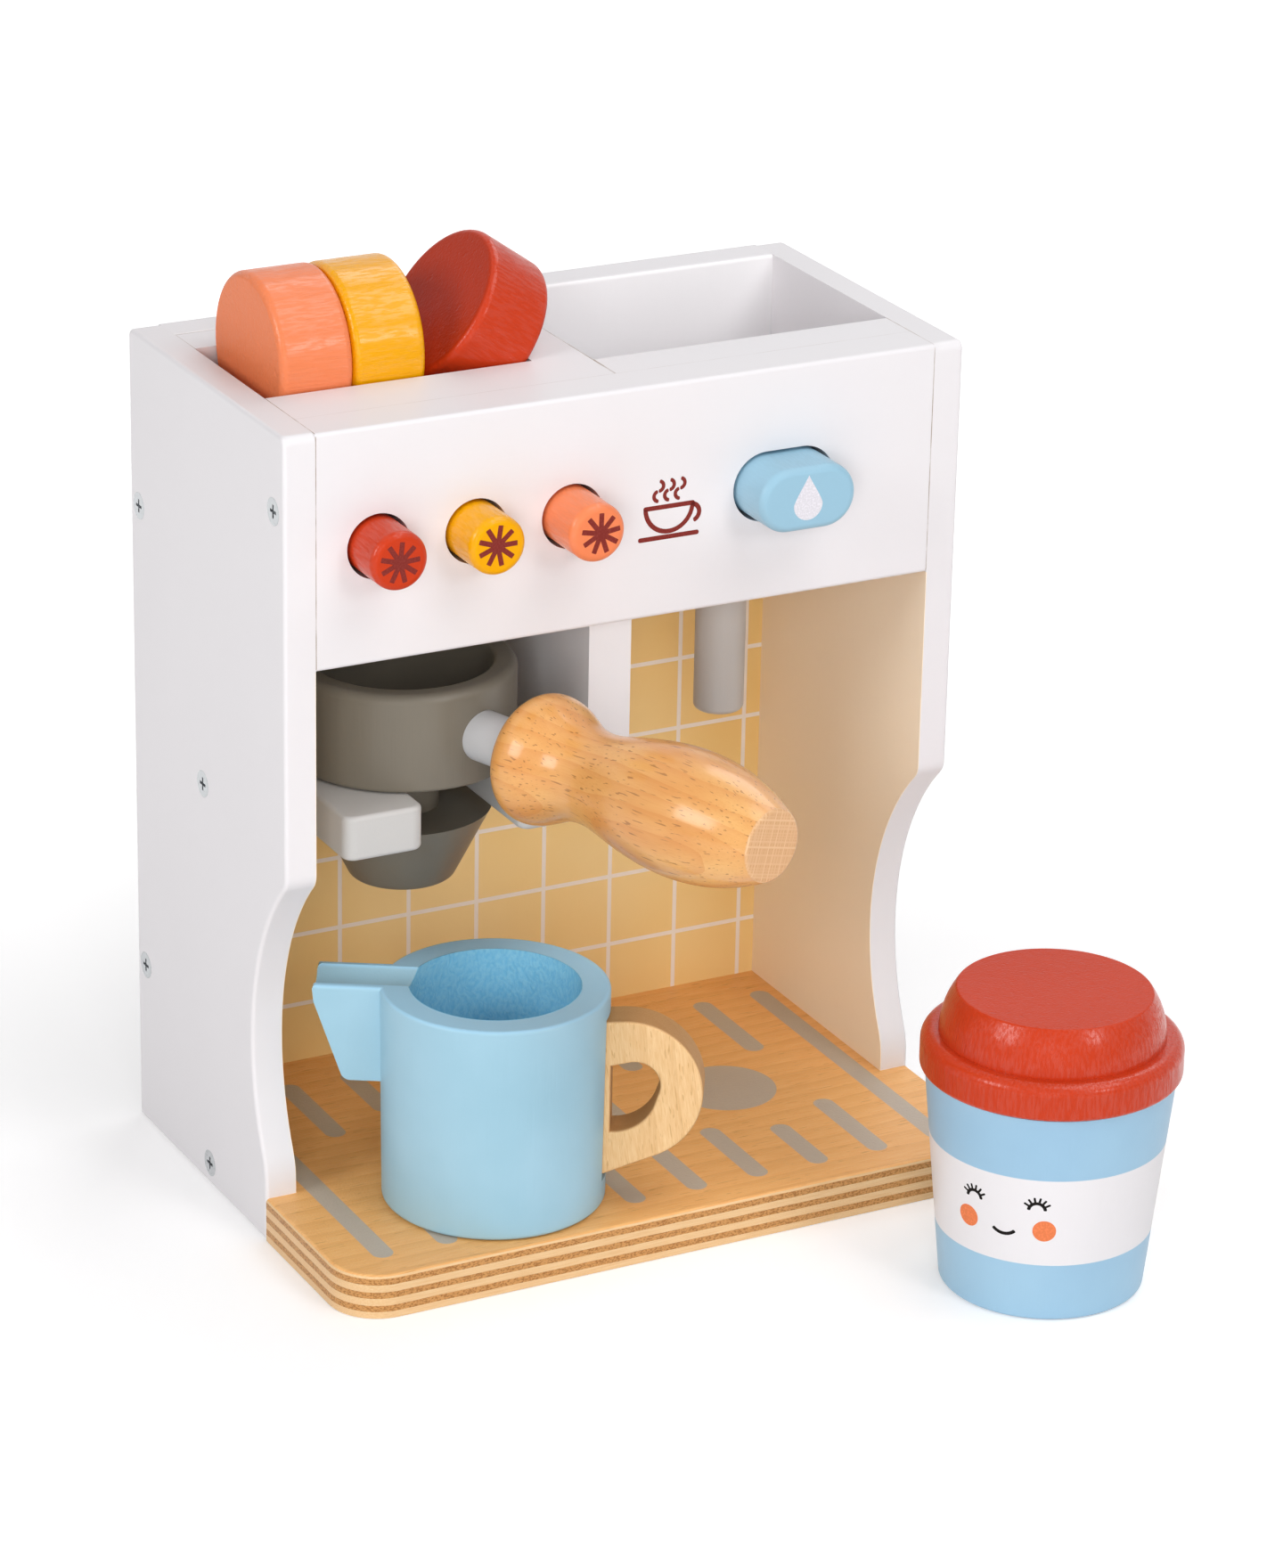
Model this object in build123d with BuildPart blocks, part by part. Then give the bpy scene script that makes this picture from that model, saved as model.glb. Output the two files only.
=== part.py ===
# Wooden toy coffee maker: a painted cabinet with a pod deck, a cup tray, four push
# buttons, a portafilter in its fork, a milk wand, a milk jug and a takeaway cup.
#
# Millimetres, +Z up. The origin lies on the surface that the toy stands on, midway
# between the side panels (X = 0) and level with the cabinet's front face (Y = 0).
# -Y faces the child, +X is the child's right.
from build123d import *
from math import cos, radians, sin, sqrt, tan
import os

os.makedirs("parts", exist_ok=True)

# ------------------------------------------------------------------ driving sizes
# Cabinet
cabinet_width = 214.0
cabinet_depth = 109.3
bay_height = 107.0
divider_length = 60.1
front_height = 69.4
side_thickness = 9.5
back_thickness = 12.3
front_thickness = 14.3
inner_board_thickness = 13.7
shelf_thickness = 9.4
divider_thickness = 13.5
pod_bay_width = 99.0
tray_wall_thickness = 9.5
edge_round = 1.2
panel_corner_round = 2.5

# Swept front edge of the side panels
foot_setback = 15.0
waist_setback = 24.5
waist_height = 60.0
sweep_radius = 78.8
foot_blend = 20.0
shoulder_blend = 6.0

# Plywood base
base_thickness = 13.5
base_overhang = 43.8
base_corner_radius = 15.0

# Pod deck and the pods
deck_thickness = 12.0
pod_radius = 24.0
pod_thickness = 22.1
pod_edge = 2.2
pod_side_clearance = 0.5
pod_slot_front = 34.0
pod_slot_length = 82.7
pod_floor_drop = 20.0
pod_floor_thickness = 6.0
pod_gap = 0.3
pod_start_gap = 5.6

# Push buttons
button_radius = 8.6
button_protrusion = 14.4
peach_button_protrusion = 16.4
button_edge = 2.2
button_drop = 35.1
first_button_inset = 19.1
button_pitch = 29.9
button_clearance = 1.0
button_travel = 5.0
flange_lip = 2.5
flange_thickness = 3.0
flange_play = 0.3
pocket_play = 0.5
spigot_radius = 3.5
spigot_length = 2.4
water_button_inset = 48.5
water_button_width = 30.8
water_button_height = 19.0
water_button_protrusion = 15.0

# Button springs
spring_radius = 5.0
spring_wire = 0.9
spring_turns = 3.0
spring_room = 8.1

# Fork
fork_thickness = 13.5
fork_front = 2.0
tine_width = 24.6
slot_width = 30.4
slot_inset = 49.9
slot_end_y = 40.6
tine_corner = 3.7
web_corner = 5.0
fork_edge = 1.4

# Portafilter
portafilter_inset = 46.2
portafilter_y = 42.0
cup_radius = 33.2
cup_bore_radius = 26.2
cup_height = 29.4
cup_bore_depth = 23.5
cup_rim_round = 2.6
neck_radius = 10.8
neck_length = 15.9
cone_top_radius = 26.2
cone_bottom_radius = 15.2
cone_height = 22.0
cone_round = 2.5
seat_gap = 0.3
handle_turn = 18.9
dowel_radius = 7.5
dowel_height = 14.2
dowel_seat_depth = 4.5
dowel_reach = 18.5
handle_length = 92.9
handle_end_round = 1.0
handle_stations = [  # share of the handle's length, radius there
    (0.00, 15.4),
    (0.05, 18.9),
    (0.12, 18.1),
    (0.20, 14.8),
    (0.29, 13.5),
    (0.42, 15.6),
    (0.60, 18.3),
    (0.78, 17.6),
    (0.90, 14.6),
    (1.00, 10.3),
]
glue_clearance = 0.05

# Milk wand
wand_radius = 7.5
wand_inset = 46.0
wand_y = 40.0
wand_drop = 49.0
wand_seat_depth = 6.0
wand_round = 1.6

# Milk jug
jug_inset = 52.2
jug_y = -8.4
jug_turn = 149.5
jug_base_radius = 32.5
jug_rim_radius = 33.2
jug_bore_radius = 24.8
jug_height = 65.8
jug_floor = 8.0
jug_edge = 1.2
spout_reach = 52.2
spout_lip = 5.0
spout_lip_slant = 0.5
spout_foot_reach = 43.2
spout_width = 18.0
spout_offset = 2.9
spout_depth = 29.3
spout_corner = 3.0
groove_radius = 9.5
groove_depth = 2.8
ear_thickness = 11.5
ear_radius = 22.0
ear_arc_reach = 38.5
ear_arc_height = 36.2
ear_root_low = 8.8
ear_root_high = 57.7
ear_flat = 30.6
ear_hole_radius = 7.1
ear_hole_reach = 40.9
ear_hole_height = 38.2
ear_hole_foot_radius = 13.3
ear_hole_foot_height = 36.5
ear_hole_top = 43.8
ear_bar = 3.2
ear_edge = 0.9
flat_margin = 1.2

# Takeaway cup and its lid
cup_x = 86.4
cup_y = -98.5
takeaway_base_radius = 29.4
takeaway_top_radius = 35.9
takeaway_height = 65.6
takeaway_bore_radius = 27.6
takeaway_floor = 8.0
lid_radius = 37.5
lid_rim_height = 11.0
lid_rim_round = 3.5
lid_rim_foot_round = 1.5
lid_dome_radius = 32.4
lid_dome_height = 13.2
lid_dome_bulge = 1.1
lid_top_radius = 27.9
lid_top_edge = 0.8
lid_plug_length = 6.0
lid_clearance = 0.3

# Countersunk wood screws
screw_head_radius = 4.0
screw_shank_radius = 1.6
screw_length = 22.0
screw_head_depth = 2.6
screw_clearance = 0.06
screw_cross_width = 0.9
screw_cross_depth = 1.3
low_screw_height = 51.8
high_screw_drop = 52.4
front_screw_drop = 23.1
base_screw_y = 56.1
fork_screw_y = 58.3

# ---------------------------------------------------------------- derived places
half_width = cabinet_width / 2
inner_half = half_width - side_thickness
divider_x = pod_bay_width - inner_half
slot_x = slot_inset - inner_half
portafilter_x = portafilter_inset - inner_half
jug_x = jug_inset - inner_half
wand_x = inner_half - wand_inset
water_button_x = inner_half - water_button_inset
back_face = cabinet_depth - back_thickness
back_middle = cabinet_depth - back_thickness / 2
fork_height = base_thickness + bay_height
front_bottom = fork_height + divider_length
cabinet_height = front_bottom + front_height
button_height = cabinet_height - button_drop
pod_floor_height = cabinet_height - pod_floor_drop
inner_back = front_thickness + inner_board_thickness
shelf_top = front_bottom + shelf_thickness
deck_bottom = cabinet_height - deck_thickness
divider_left = divider_x - divider_thickness / 2
tray_wall_left = divider_x - tray_wall_thickness
fork_top = fork_height + fork_thickness
pod_slot_back = pod_slot_front + 2 * (pod_radius + pod_side_clearance)
pod_y = (pod_slot_front + pod_slot_back) / 2
pocket_depth = flange_play + flange_thickness + spring_room
flange_front = front_thickness + flange_play
flange_back = flange_front + flange_thickness
pocket_bottom = front_thickness + pocket_depth
button_places = [first_button_inset - inner_half + i * button_pitch for i in range(3)]

# ------------------------------------------------------------------------ screws
left_screws = [
    (back_middle, low_screw_height),
    (back_middle, cabinet_height - high_screw_drop),
    (front_thickness / 2, cabinet_height - front_screw_drop),
    (base_screw_y, base_thickness / 2),
]
right_screws = list(left_screws)
left_screws += [(fork_screw_y, fork_height + fork_thickness / 2)]


def screw_planes(side):
    """Planes at the screw heads of one side panel, with Z pointing out of the head."""
    places = left_screws if side < 0 else right_screws
    return [
        Plane(origin=(side * half_width, y, z), x_dir=(0, 1, 0), z_dir=(side, 0, 0))
        for y, z in places
    ]


def cut_pilot_holes(side):
    """Pilot holes for the screws of one side, in the board that is being built."""
    for place in screw_planes(side):
        with BuildSketch(place.offset(-side_thickness)) as pilot:
            Circle(screw_shank_radius + screw_clearance)
        hole_depth = screw_length - side_thickness + screw_clearance
        extrude(pilot.sketch, amount=-hole_depth, mode=Mode.SUBTRACT)


with BuildPart() as panel_screws:
    for side in (-1, 1):
        for place in screw_planes(side):
            with BuildSketch(place):
                Circle(screw_head_radius)
            with BuildSketch(place.offset(-screw_head_depth)):
                Circle(screw_shank_radius)
            loft()
            with BuildSketch(place.offset(-screw_head_depth)):
                Circle(screw_shank_radius)
            extrude(amount=-(screw_length - screw_head_depth))
            with BuildSketch(place):
                Rectangle(screw_head_radius, screw_cross_width)
                Rectangle(screw_cross_width, screw_head_radius)
            extrude(amount=-screw_cross_depth, mode=Mode.SUBTRACT)
panel_screws.part.label = "panel_screws"
export_step(panel_screws.part, "parts/panel_screws.step")

# ------------------------------------------------------------------- side panels
sweep_y = waist_setback - sweep_radius
sweep_foot = waist_height - sqrt(sweep_radius**2 - (foot_setback - sweep_y) ** 2)
sweep_shoulder = waist_height + sqrt(sweep_radius**2 - sweep_y**2)

for side, label in ((-1, "side_panel_left"), (1, "side_panel_right")):
    inner_face = Plane(origin=(side * inner_half, 0, 0), x_dir=(0, 1, 0), z_dir=(1, 0, 0))
    with BuildPart() as side_panel:
        with BuildSketch(inner_face) as outline:
            with BuildLine():
                Polyline(
                    (foot_setback, sweep_foot),
                    (foot_setback, 0),
                    (cabinet_depth, 0),
                    (cabinet_depth, cabinet_height),
                    (0, cabinet_height),
                    (0, sweep_shoulder),
                )
                ThreePointArc(
                    (0, sweep_shoulder), (waist_setback, waist_height), (foot_setback, sweep_foot)
                )
            make_face()
            fillet(outline.vertices().sort_by_distance((0, sweep_shoulder, 0))[0], shoulder_blend)
            fillet(outline.vertices().sort_by_distance((foot_setback, sweep_foot, 0))[0], foot_blend)
            fillet(outline.vertices().group_by(Axis.Y)[-1], panel_corner_round)
        extrude(amount=side * side_thickness)
        outer_face = side_panel.faces().sort_by(Axis.X)[-1 if side > 0 else 0]
        fillet(outer_face.edges(), edge_round)
        for place in screw_planes(side):
            with Locations(place):
                CounterSinkHole(
                    radius=screw_shank_radius + screw_clearance,
                    counter_sink_radius=screw_head_radius + screw_clearance,
                    depth=side_thickness,
                    counter_sink_angle=85,
                )
    side_panel.part.label = label
    export_step(side_panel.part, f"parts/{label}.step")

# -------------------------------------------------------------------- back panel
with BuildPart() as back_panel:
    with BuildSketch(Plane.XY):
        with Locations((0, back_middle)):
            Rectangle(2 * inner_half, back_thickness)
    extrude(amount=cabinet_height)
    fillet(back_panel.edges().filter_by(Axis.X).group_by(Axis.Z)[-1], edge_round)
    cut_pilot_holes(-1)
    cut_pilot_holes(1)
back_panel.part.label = "back_panel"
export_step(back_panel.part, "parts/back_panel.step")

# --------------------------------------------------------- front panel and buttons


def water_button_outline(margin):
    """Stadium outline of the water button, grown by a margin."""
    with Locations((water_button_x, button_height)):
        SlotOverall(water_button_width + 2 * margin, water_button_height + 2 * margin)


def front_plane(y):
    """Upright plane facing the child at depth y: sketch X is X, sketch Y is Z."""
    return Plane(origin=(0, y, 0), x_dir=(1, 0, 0), z_dir=(0, -1, 0))


with BuildPart() as front_panel:
    with BuildSketch(front_plane(0)):
        with Locations((0, cabinet_height - front_height / 2)):
            Rectangle(2 * inner_half, front_height)
    extrude(amount=-front_thickness)
    fillet(front_panel.edges().filter_by(Axis.X).group_by(Axis.Y)[0], edge_round)
    with BuildSketch(front_plane(0)):
        with Locations([(x, button_height) for x in button_places]):
            Circle(button_radius + button_clearance)
        water_button_outline(button_clearance)
    extrude(amount=-front_thickness, mode=Mode.SUBTRACT)
    cut_pilot_holes(-1)
    cut_pilot_holes(1)
front_panel.part.label = "front_panel"
export_step(front_panel.part, "parts/front_panel.step")

button_lengths = (button_protrusion, button_protrusion, peach_button_protrusion)
for x, colour, protrusion in zip(button_places, ("red", "yellow", "peach"), button_lengths):
    with BuildPart() as round_button:
        with BuildSketch(front_plane(-protrusion)):
            with Locations((x, button_height)):
                Circle(button_radius)
        extrude(amount=-(protrusion + flange_front))
        fillet(round_button.edges().group_by(Axis.Y)[0], button_edge)
        with BuildSketch(front_plane(flange_front)):
            with Locations((x, button_height)):
                Circle(button_radius + flange_lip)
        extrude(amount=-flange_thickness)
        with BuildSketch(front_plane(flange_back)):
            with Locations((x, button_height)):
                Circle(spigot_radius)
        extrude(amount=-spigot_length)
    round_button.part.label = f"{colour}_button"
    export_step(round_button.part, f"parts/{colour}_button.step")

with BuildPart() as water_button:
    with BuildSketch(front_plane(-water_button_protrusion)):
        water_button_outline(0)
    extrude(amount=-(water_button_protrusion + flange_front))
    fillet(water_button.edges().group_by(Axis.Y)[0], button_edge)
    with BuildSketch(front_plane(flange_front)):
        water_button_outline(flange_lip)
    extrude(amount=-flange_thickness)
    with BuildSketch(front_plane(flange_back)):
        with Locations((water_button_x, button_height)):
            Circle(spigot_radius)
    extrude(amount=-spigot_length)
water_button.part.label = "water_button"
export_step(water_button.part, "parts/water_button.step")

# ---------------------------------------------------------------- button springs
spring_pitch = (spring_room - spring_wire - 2 * glue_clearance) / spring_turns
for x, name in zip(
    button_places + [water_button_x], ("red_button", "yellow_button", "peach_button", "water_button")
):
    spring_start = (x, flange_back + glue_clearance + spring_wire / 2, button_height)
    with BuildPart() as spring:
        with BuildLine() as coil:
            Helix(
                pitch=spring_pitch,
                height=spring_turns * spring_pitch,
                radius=spring_radius,
                center=spring_start,
                direction=(0, 1, 0),
            )
        with BuildSketch(Plane(origin=coil.line @ 0, z_dir=coil.line % 0)):
            RegularPolygon(spring_wire / 2, 6)
        sweep(path=coil.line, is_frenet=True)
    spring.part.label = f"{name}_spring"
    export_step(spring.part, f"parts/{name}_spring.step")

# -------------------------------------------- boards that stand behind the front
with BuildPart() as button_board:
    with BuildSketch(front_plane(front_thickness)):
        with Locations(((divider_x - inner_half) / 2, (shelf_top + deck_bottom) / 2)):
            Rectangle(divider_x + inner_half, deck_bottom - shelf_top)
    extrude(amount=-inner_board_thickness)
    with BuildSketch(front_plane(front_thickness)):
        with Locations([(x, button_height) for x in button_places]):
            Circle(button_radius + flange_lip + pocket_play)
    extrude(amount=-pocket_depth, mode=Mode.SUBTRACT)
button_board.part.label = "button_board"
export_step(button_board.part, "parts/button_board.step")

with BuildPart() as tray_front:
    with BuildSketch(front_plane(front_thickness)):
        with Locations(((divider_x + inner_half) / 2, (shelf_top + cabinet_height) / 2)):
            Rectangle(inner_half - divider_x, cabinet_height - shelf_top)
    extrude(amount=-inner_board_thickness)
    with BuildSketch(front_plane(front_thickness)):
        water_button_outline(flange_lip + pocket_play)
    extrude(amount=-pocket_depth, mode=Mode.SUBTRACT)
tray_front.part.label = "tray_front"
export_step(tray_front.part, "parts/tray_front.step")

# ---------------------------------------------------------- pod deck, pod floor
with BuildPart() as pod_deck:
    with BuildSketch(Plane.XY.offset(deck_bottom)):
        with Locations(((divider_x - inner_half) / 2, (front_thickness + back_face) / 2)):
            Rectangle(divider_x + inner_half, back_face - front_thickness)
        with Locations((-inner_half + pod_slot_length / 2, pod_y)):
            Rectangle(pod_slot_length, pod_slot_back - pod_slot_front, mode=Mode.SUBTRACT)
    extrude(amount=deck_thickness)
pod_deck.part.label = "pod_deck"
export_step(pod_deck.part, "parts/pod_deck.step")

with BuildPart() as pod_floor:
    with BuildSketch(Plane.XY.offset(pod_floor_height - pod_floor_thickness)):
        with Locations(((tray_wall_left - inner_half) / 2, (inner_back + back_face) / 2)):
            Rectangle(tray_wall_left + inner_half, back_face - inner_back)
    extrude(amount=pod_floor_thickness)
pod_floor.part.label = "pod_floor"
export_step(pod_floor.part, "parts/pod_floor.step")

# ----------------------------------------------- tray wall, shelf and divider
with BuildPart() as tray_wall:
    with BuildSketch(Plane.XY.offset(shelf_top)):
        with Locations((divider_x - tray_wall_thickness / 2, (inner_back + back_face) / 2)):
            Rectangle(tray_wall_thickness, back_face - inner_back)
    extrude(amount=deck_bottom - shelf_top)
tray_wall.part.label = "tray_wall"
export_step(tray_wall.part, "parts/tray_wall.step")

with BuildPart() as shelf:
    with BuildSketch(Plane.XY.offset(front_bottom)):
        with Locations((0, (front_thickness + back_face) / 2)):
            Rectangle(2 * inner_half, back_face - front_thickness)
    extrude(amount=shelf_thickness)
    with BuildSketch(Plane.XY.offset(front_bottom)):
        with Locations((wand_x, wand_y)):
            Circle(wand_radius + glue_clearance)
    extrude(amount=wand_seat_depth, mode=Mode.SUBTRACT)
shelf.part.label = "shelf"
export_step(shelf.part, "parts/shelf.step")

with BuildPart() as divider:
    with BuildSketch(Plane.XY.offset(fork_height)):
        with Locations((divider_x, (front_thickness + back_face) / 2)):
            Rectangle(divider_thickness, back_face - front_thickness)
    extrude(amount=front_bottom - fork_height)
divider.part.label = "divider"
export_step(divider.part, "parts/divider.step")

# --------------------------------------------------------------------- milk wand
with BuildPart() as milk_wand:
    with BuildSketch(Plane.XY.offset(front_bottom - wand_drop)):
        with Locations((wand_x, wand_y)):
            Circle(wand_radius)
    extrude(amount=wand_drop + wand_seat_depth - glue_clearance)
    fillet(milk_wand.edges().group_by(Axis.Z)[0], wand_round)
milk_wand.part.label = "milk_wand"
export_step(milk_wand.part, "parts/milk_wand.step")

# -------------------------------------------------------------------- base board
with BuildPart() as base_board:
    with BuildSketch(Plane.XY) as base_outline:
        with Locations((0, (foot_setback - base_overhang) / 2)):
            Rectangle(cabinet_width, foot_setback + base_overhang)
        fillet(base_outline.vertices().group_by(Axis.Y)[0], base_corner_radius)
        with Locations((0, (foot_setback + back_face) / 2)):
            Rectangle(2 * inner_half, back_face - foot_setback)
    extrude(amount=base_thickness)
    front_rim = base_board.edges().group_by(Axis.Z)[-1].filter_by(lambda e: e.center().Y < 0)
    fillet(front_rim, edge_round)
    cut_pilot_holes(-1)
    cut_pilot_holes(1)
base_board.part.label = "base_board"
export_step(base_board.part, "parts/base_board.step")

# -------------------------------------------------------------------------- fork
web_front = slot_end_y + slot_width / 2
with BuildPart() as fork:
    with BuildSketch(Plane.XY.offset(fork_height)) as fork_outline:
        with Locations(((divider_left - inner_half) / 2, (web_front + back_face) / 2)):
            Rectangle(divider_left + inner_half, back_face - web_front)
        with Locations((slot_x, (fork_front + web_front) / 2)):
            Rectangle(slot_width + 2 * tine_width, web_front - fork_front)
        with Locations((slot_x, (fork_front + slot_end_y) / 2)):
            Rectangle(slot_width, slot_end_y - fork_front, mode=Mode.SUBTRACT)
        with Locations((slot_x, slot_end_y)):
            Circle(slot_width / 2, mode=Mode.SUBTRACT)
        fillet(fork_outline.vertices().group_by(Axis.Y)[0], tine_corner)
        left_root = (slot_x - slot_width / 2 - tine_width, web_front, 0)
        fillet(fork_outline.vertices().sort_by_distance(left_root)[0], web_corner)
    extrude(amount=fork_thickness)
    fork_rims = fork.edges().group_by(Axis.Z)
    for rim in (fork_rims[0], fork_rims[-1]):
        fillet(rim.filter_by(lambda e: e.center().Y < slot_end_y), fork_edge)
    cut_pilot_holes(-1)
fork.part.label = "fork"
export_step(fork.part, "parts/fork.step")

# ------------------------------------------------------------------- portafilter
cup_bottom = fork_top + seat_gap
cup_top = cup_bottom + cup_height
cone_top = cup_bottom - neck_length
handle_height = cup_bottom + dowel_height
turn = radians(handle_turn)
handle_plane = Plane(
    origin=(portafilter_x, portafilter_y, handle_height),
    x_dir=(sin(turn), -cos(turn), 0),
    z_dir=(cos(turn), sin(turn), 0),
)
dowel_plane = Plane(
    origin=handle_plane.origin, x_dir=(0, 0, 1), z_dir=(sin(turn), -cos(turn), 0)
)
dowel_start = cup_radius - dowel_seat_depth
handle_start = cup_radius + dowel_reach
dowel_end = handle_start + dowel_seat_depth + dowel_radius

with BuildPart() as filter_cup:
    with BuildSketch(Plane(origin=(portafilter_x, portafilter_y, 0), x_dir=(1, 0, 0), z_dir=(0, -1, 0))):
        with BuildLine():
            Polyline(
                (0, cone_top - cone_height),
                (cone_bottom_radius, cone_top - cone_height),
                (cone_top_radius, cone_top),
                (neck_radius, cone_top),
                (neck_radius, cup_bottom),
                (cup_radius, cup_bottom),
                (cup_radius, cup_top),
                (cup_bore_radius, cup_top),
                (cup_bore_radius, cup_top - cup_bore_depth),
                (0, cup_top - cup_bore_depth),
                close=True,
            )
        make_face()
    revolve(axis=Axis((portafilter_x, portafilter_y, 0), (0, 0, 1)))
    rounds = filter_cup.edges().filter_by(GeomType.CIRCLE)
    fillet(rounds.group_by(Axis.Z)[-1].sort_by(SortBy.RADIUS)[-1], cup_rim_round)
    rounds = filter_cup.edges().filter_by(GeomType.CIRCLE)
    fillet(rounds.group_by(Axis.Z)[-1].sort_by(SortBy.RADIUS)[0], edge_round)
    rounds = filter_cup.edges().filter_by(GeomType.CIRCLE)
    fillet(rounds.group_by(Axis.Z)[0], cone_round)
    rounds = filter_cup.edges().filter_by(GeomType.CIRCLE)
    fillet(
        rounds.filter_by(lambda e: abs(e.center().Z - cup_bottom) < 0.01).sort_by(SortBy.RADIUS)[-1],
        edge_round,
    )
    with BuildSketch(dowel_plane.offset(dowel_start)):
        Circle(dowel_radius + glue_clearance)
    extrude(amount=cup_radius, mode=Mode.SUBTRACT)
filter_cup.part.label = "filter_cup"
export_step(filter_cup.part, "parts/filter_cup.step")

with BuildPart() as handle_dowel:
    with BuildSketch(dowel_plane.offset(dowel_start + glue_clearance)):
        Circle(dowel_radius)
    extrude(amount=dowel_end - dowel_start - 2 * glue_clearance)
handle_dowel.part.label = "handle_dowel"
export_step(handle_dowel.part, "parts/handle_dowel.step")

handle_end = handle_start + handle_length
with BuildPart() as filter_handle:
    with BuildSketch(handle_plane):
        with BuildLine():
            turned_side = Spline(
                [(handle_start + share * handle_length, radius) for share, radius in handle_stations]
            )
            Polyline(turned_side @ 1, (handle_end, 0), (handle_start, 0), turned_side @ 0)
        make_face()
    revolve(axis=Axis(handle_plane.origin, handle_plane.x_dir))
    end_rim = filter_handle.edges().sort_by(Axis(handle_plane.origin, handle_plane.x_dir))[-1]
    fillet(end_rim, handle_end_round)
    with BuildSketch(dowel_plane.offset(handle_start)):
        Circle(dowel_radius + glue_clearance)
    extrude(amount=dowel_end - handle_start, mode=Mode.SUBTRACT)
filter_handle.part.label = "filter_handle"
export_step(filter_handle.part, "parts/filter_handle.step")

# -------------------------------------------------------------------------- pods


def pod(centre, tilt):
    """A pod: a disc standing on edge, its axis along X before it leans by tilt."""
    lean = radians(tilt)
    axis = Vector(cos(lean), 0, -sin(lean))
    middle = Plane(origin=centre, x_dir=(0, 1, 0), z_dir=axis)
    with BuildPart() as disc:
        with BuildSketch(middle.offset(-pod_thickness / 2)):
            Circle(pod_radius)
        extrude(amount=pod_thickness)
        fillet(disc.edges().filter_by(GeomType.CIRCLE), pod_edge)
    return disc.part


peach_x = -inner_half + pod_start_gap + pod_thickness / 2
yellow_x = peach_x + pod_thickness + pod_gap
foot_z = pod_floor_height + pod_gap
upright_z = foot_z + pod_radius

# The red pod leans on the slot's right edge, with its foot on the floor and its near
# rim beside the yellow pod. Halving the range again and again finds the tilt that fits.
slot_right = -inner_half + pod_slot_length
lean_room = slot_right - (yellow_x + pod_thickness / 2) - pod_gap
tilt_low, tilt_high = 0.0, 80.0
for _ in range(40):
    leaning_tilt = (tilt_low + tilt_high) / 2
    lean = radians(leaning_tilt)
    width_taken = pod_thickness * cos(lean) + (cabinet_height - foot_z) * tan(lean) + pod_gap / cos(lean)
    if width_taken < lean_room:
        tilt_low = leaning_tilt
    else:
        tilt_high = leaning_tilt
foot_x = slot_right - pod_gap / cos(lean) - (cabinet_height - foot_z) * tan(lean)
red_centre = (
    foot_x + (pod_radius * sin(lean) - pod_thickness / 2 * cos(lean)),
    pod_y,
    foot_z + (pod_radius * cos(lean) + pod_thickness / 2 * sin(lean)),
)
for label, centre, tilt in (
    ("peach_pod", (peach_x, pod_y, upright_z), 0),
    ("yellow_pod", (yellow_x, pod_y, upright_z), 0),
    ("red_pod", red_centre, leaning_tilt),
):
    coffee_pod = pod(centre, tilt)
    coffee_pod.label = label
    export_step(coffee_pod, f"parts/{label}.step")

# ---------------------------------------------------------------------- milk jug
jug_bottom = base_thickness + seat_gap
jug_top = jug_bottom + jug_height
spout_turn = radians(jug_turn)
spout_dir = Vector(cos(spout_turn), sin(spout_turn), 0)
across_dir = Vector(-sin(spout_turn), cos(spout_turn), 0)
jug_axis = Axis((jug_x, jug_y, 0), (0, 0, 1))
jug_place = Plane(origin=(jug_x, jug_y, jug_bottom), x_dir=spout_dir, z_dir=(0, 0, 1))
spout_profile = Plane(origin=(jug_x, jug_y, 0), x_dir=spout_dir, z_dir=-across_dir)
handle_profile = Plane(origin=(jug_x, jug_y, 0), x_dir=-spout_dir, z_dir=across_dir)

with BuildPart() as jug_body:
    with BuildSketch(spout_profile):
        with BuildLine():
            Polyline(
                (0, jug_bottom),
                (jug_base_radius, jug_bottom),
                (jug_rim_radius, jug_top),
                (0, jug_top),
                close=True,
            )
        make_face()
    revolve(axis=jug_axis)
    with BuildSketch(spout_profile.offset(spout_offset)) as spout_side:
        with BuildLine():
            Polyline(
                (0, jug_top),
                (spout_reach, jug_top),
                (spout_reach - spout_lip_slant, jug_top - spout_lip),
                (spout_foot_reach, jug_top - spout_depth),
                (0, jug_top - spout_depth),
                close=True,
            )
        make_face()
        foot = (spout_foot_reach, jug_top - spout_depth, 0)
        fillet(spout_side.vertices().sort_by_distance(foot)[0], spout_corner)
    extrude(amount=spout_width / 2, both=True)
    fillet(jug_body.edges().group_by(Axis.Z)[-1], jug_edge)
    fillet(jug_body.edges().filter_by(GeomType.CIRCLE).group_by(Axis.Z)[0], jug_edge)
    with BuildSketch(jug_place.offset(jug_floor)):
        Circle(jug_bore_radius)
    extrude(amount=jug_height, mode=Mode.SUBTRACT)
    groove_end = Plane(
        origin=jug_place.origin - across_dir * spout_offset, x_dir=across_dir, z_dir=spout_dir
    )
    with BuildSketch(groove_end):
        with Locations((0, jug_height + groove_radius - groove_depth)):
            Circle(groove_radius)
    extrude(amount=2 * spout_reach, mode=Mode.SUBTRACT)
    with BuildSketch(handle_profile):
        with Locations((ear_flat + jug_base_radius / 2, jug_bottom + (ear_root_low + ear_root_high) / 2)):
            Rectangle(jug_base_radius, ear_root_high - ear_root_low + 2 * flat_margin)
    extrude(amount=ear_thickness / 2 + flat_margin, both=True, mode=Mode.SUBTRACT)
jug_body.part.label = "jug_body"
export_step(jug_body.part, "parts/jug_body.step")

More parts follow.
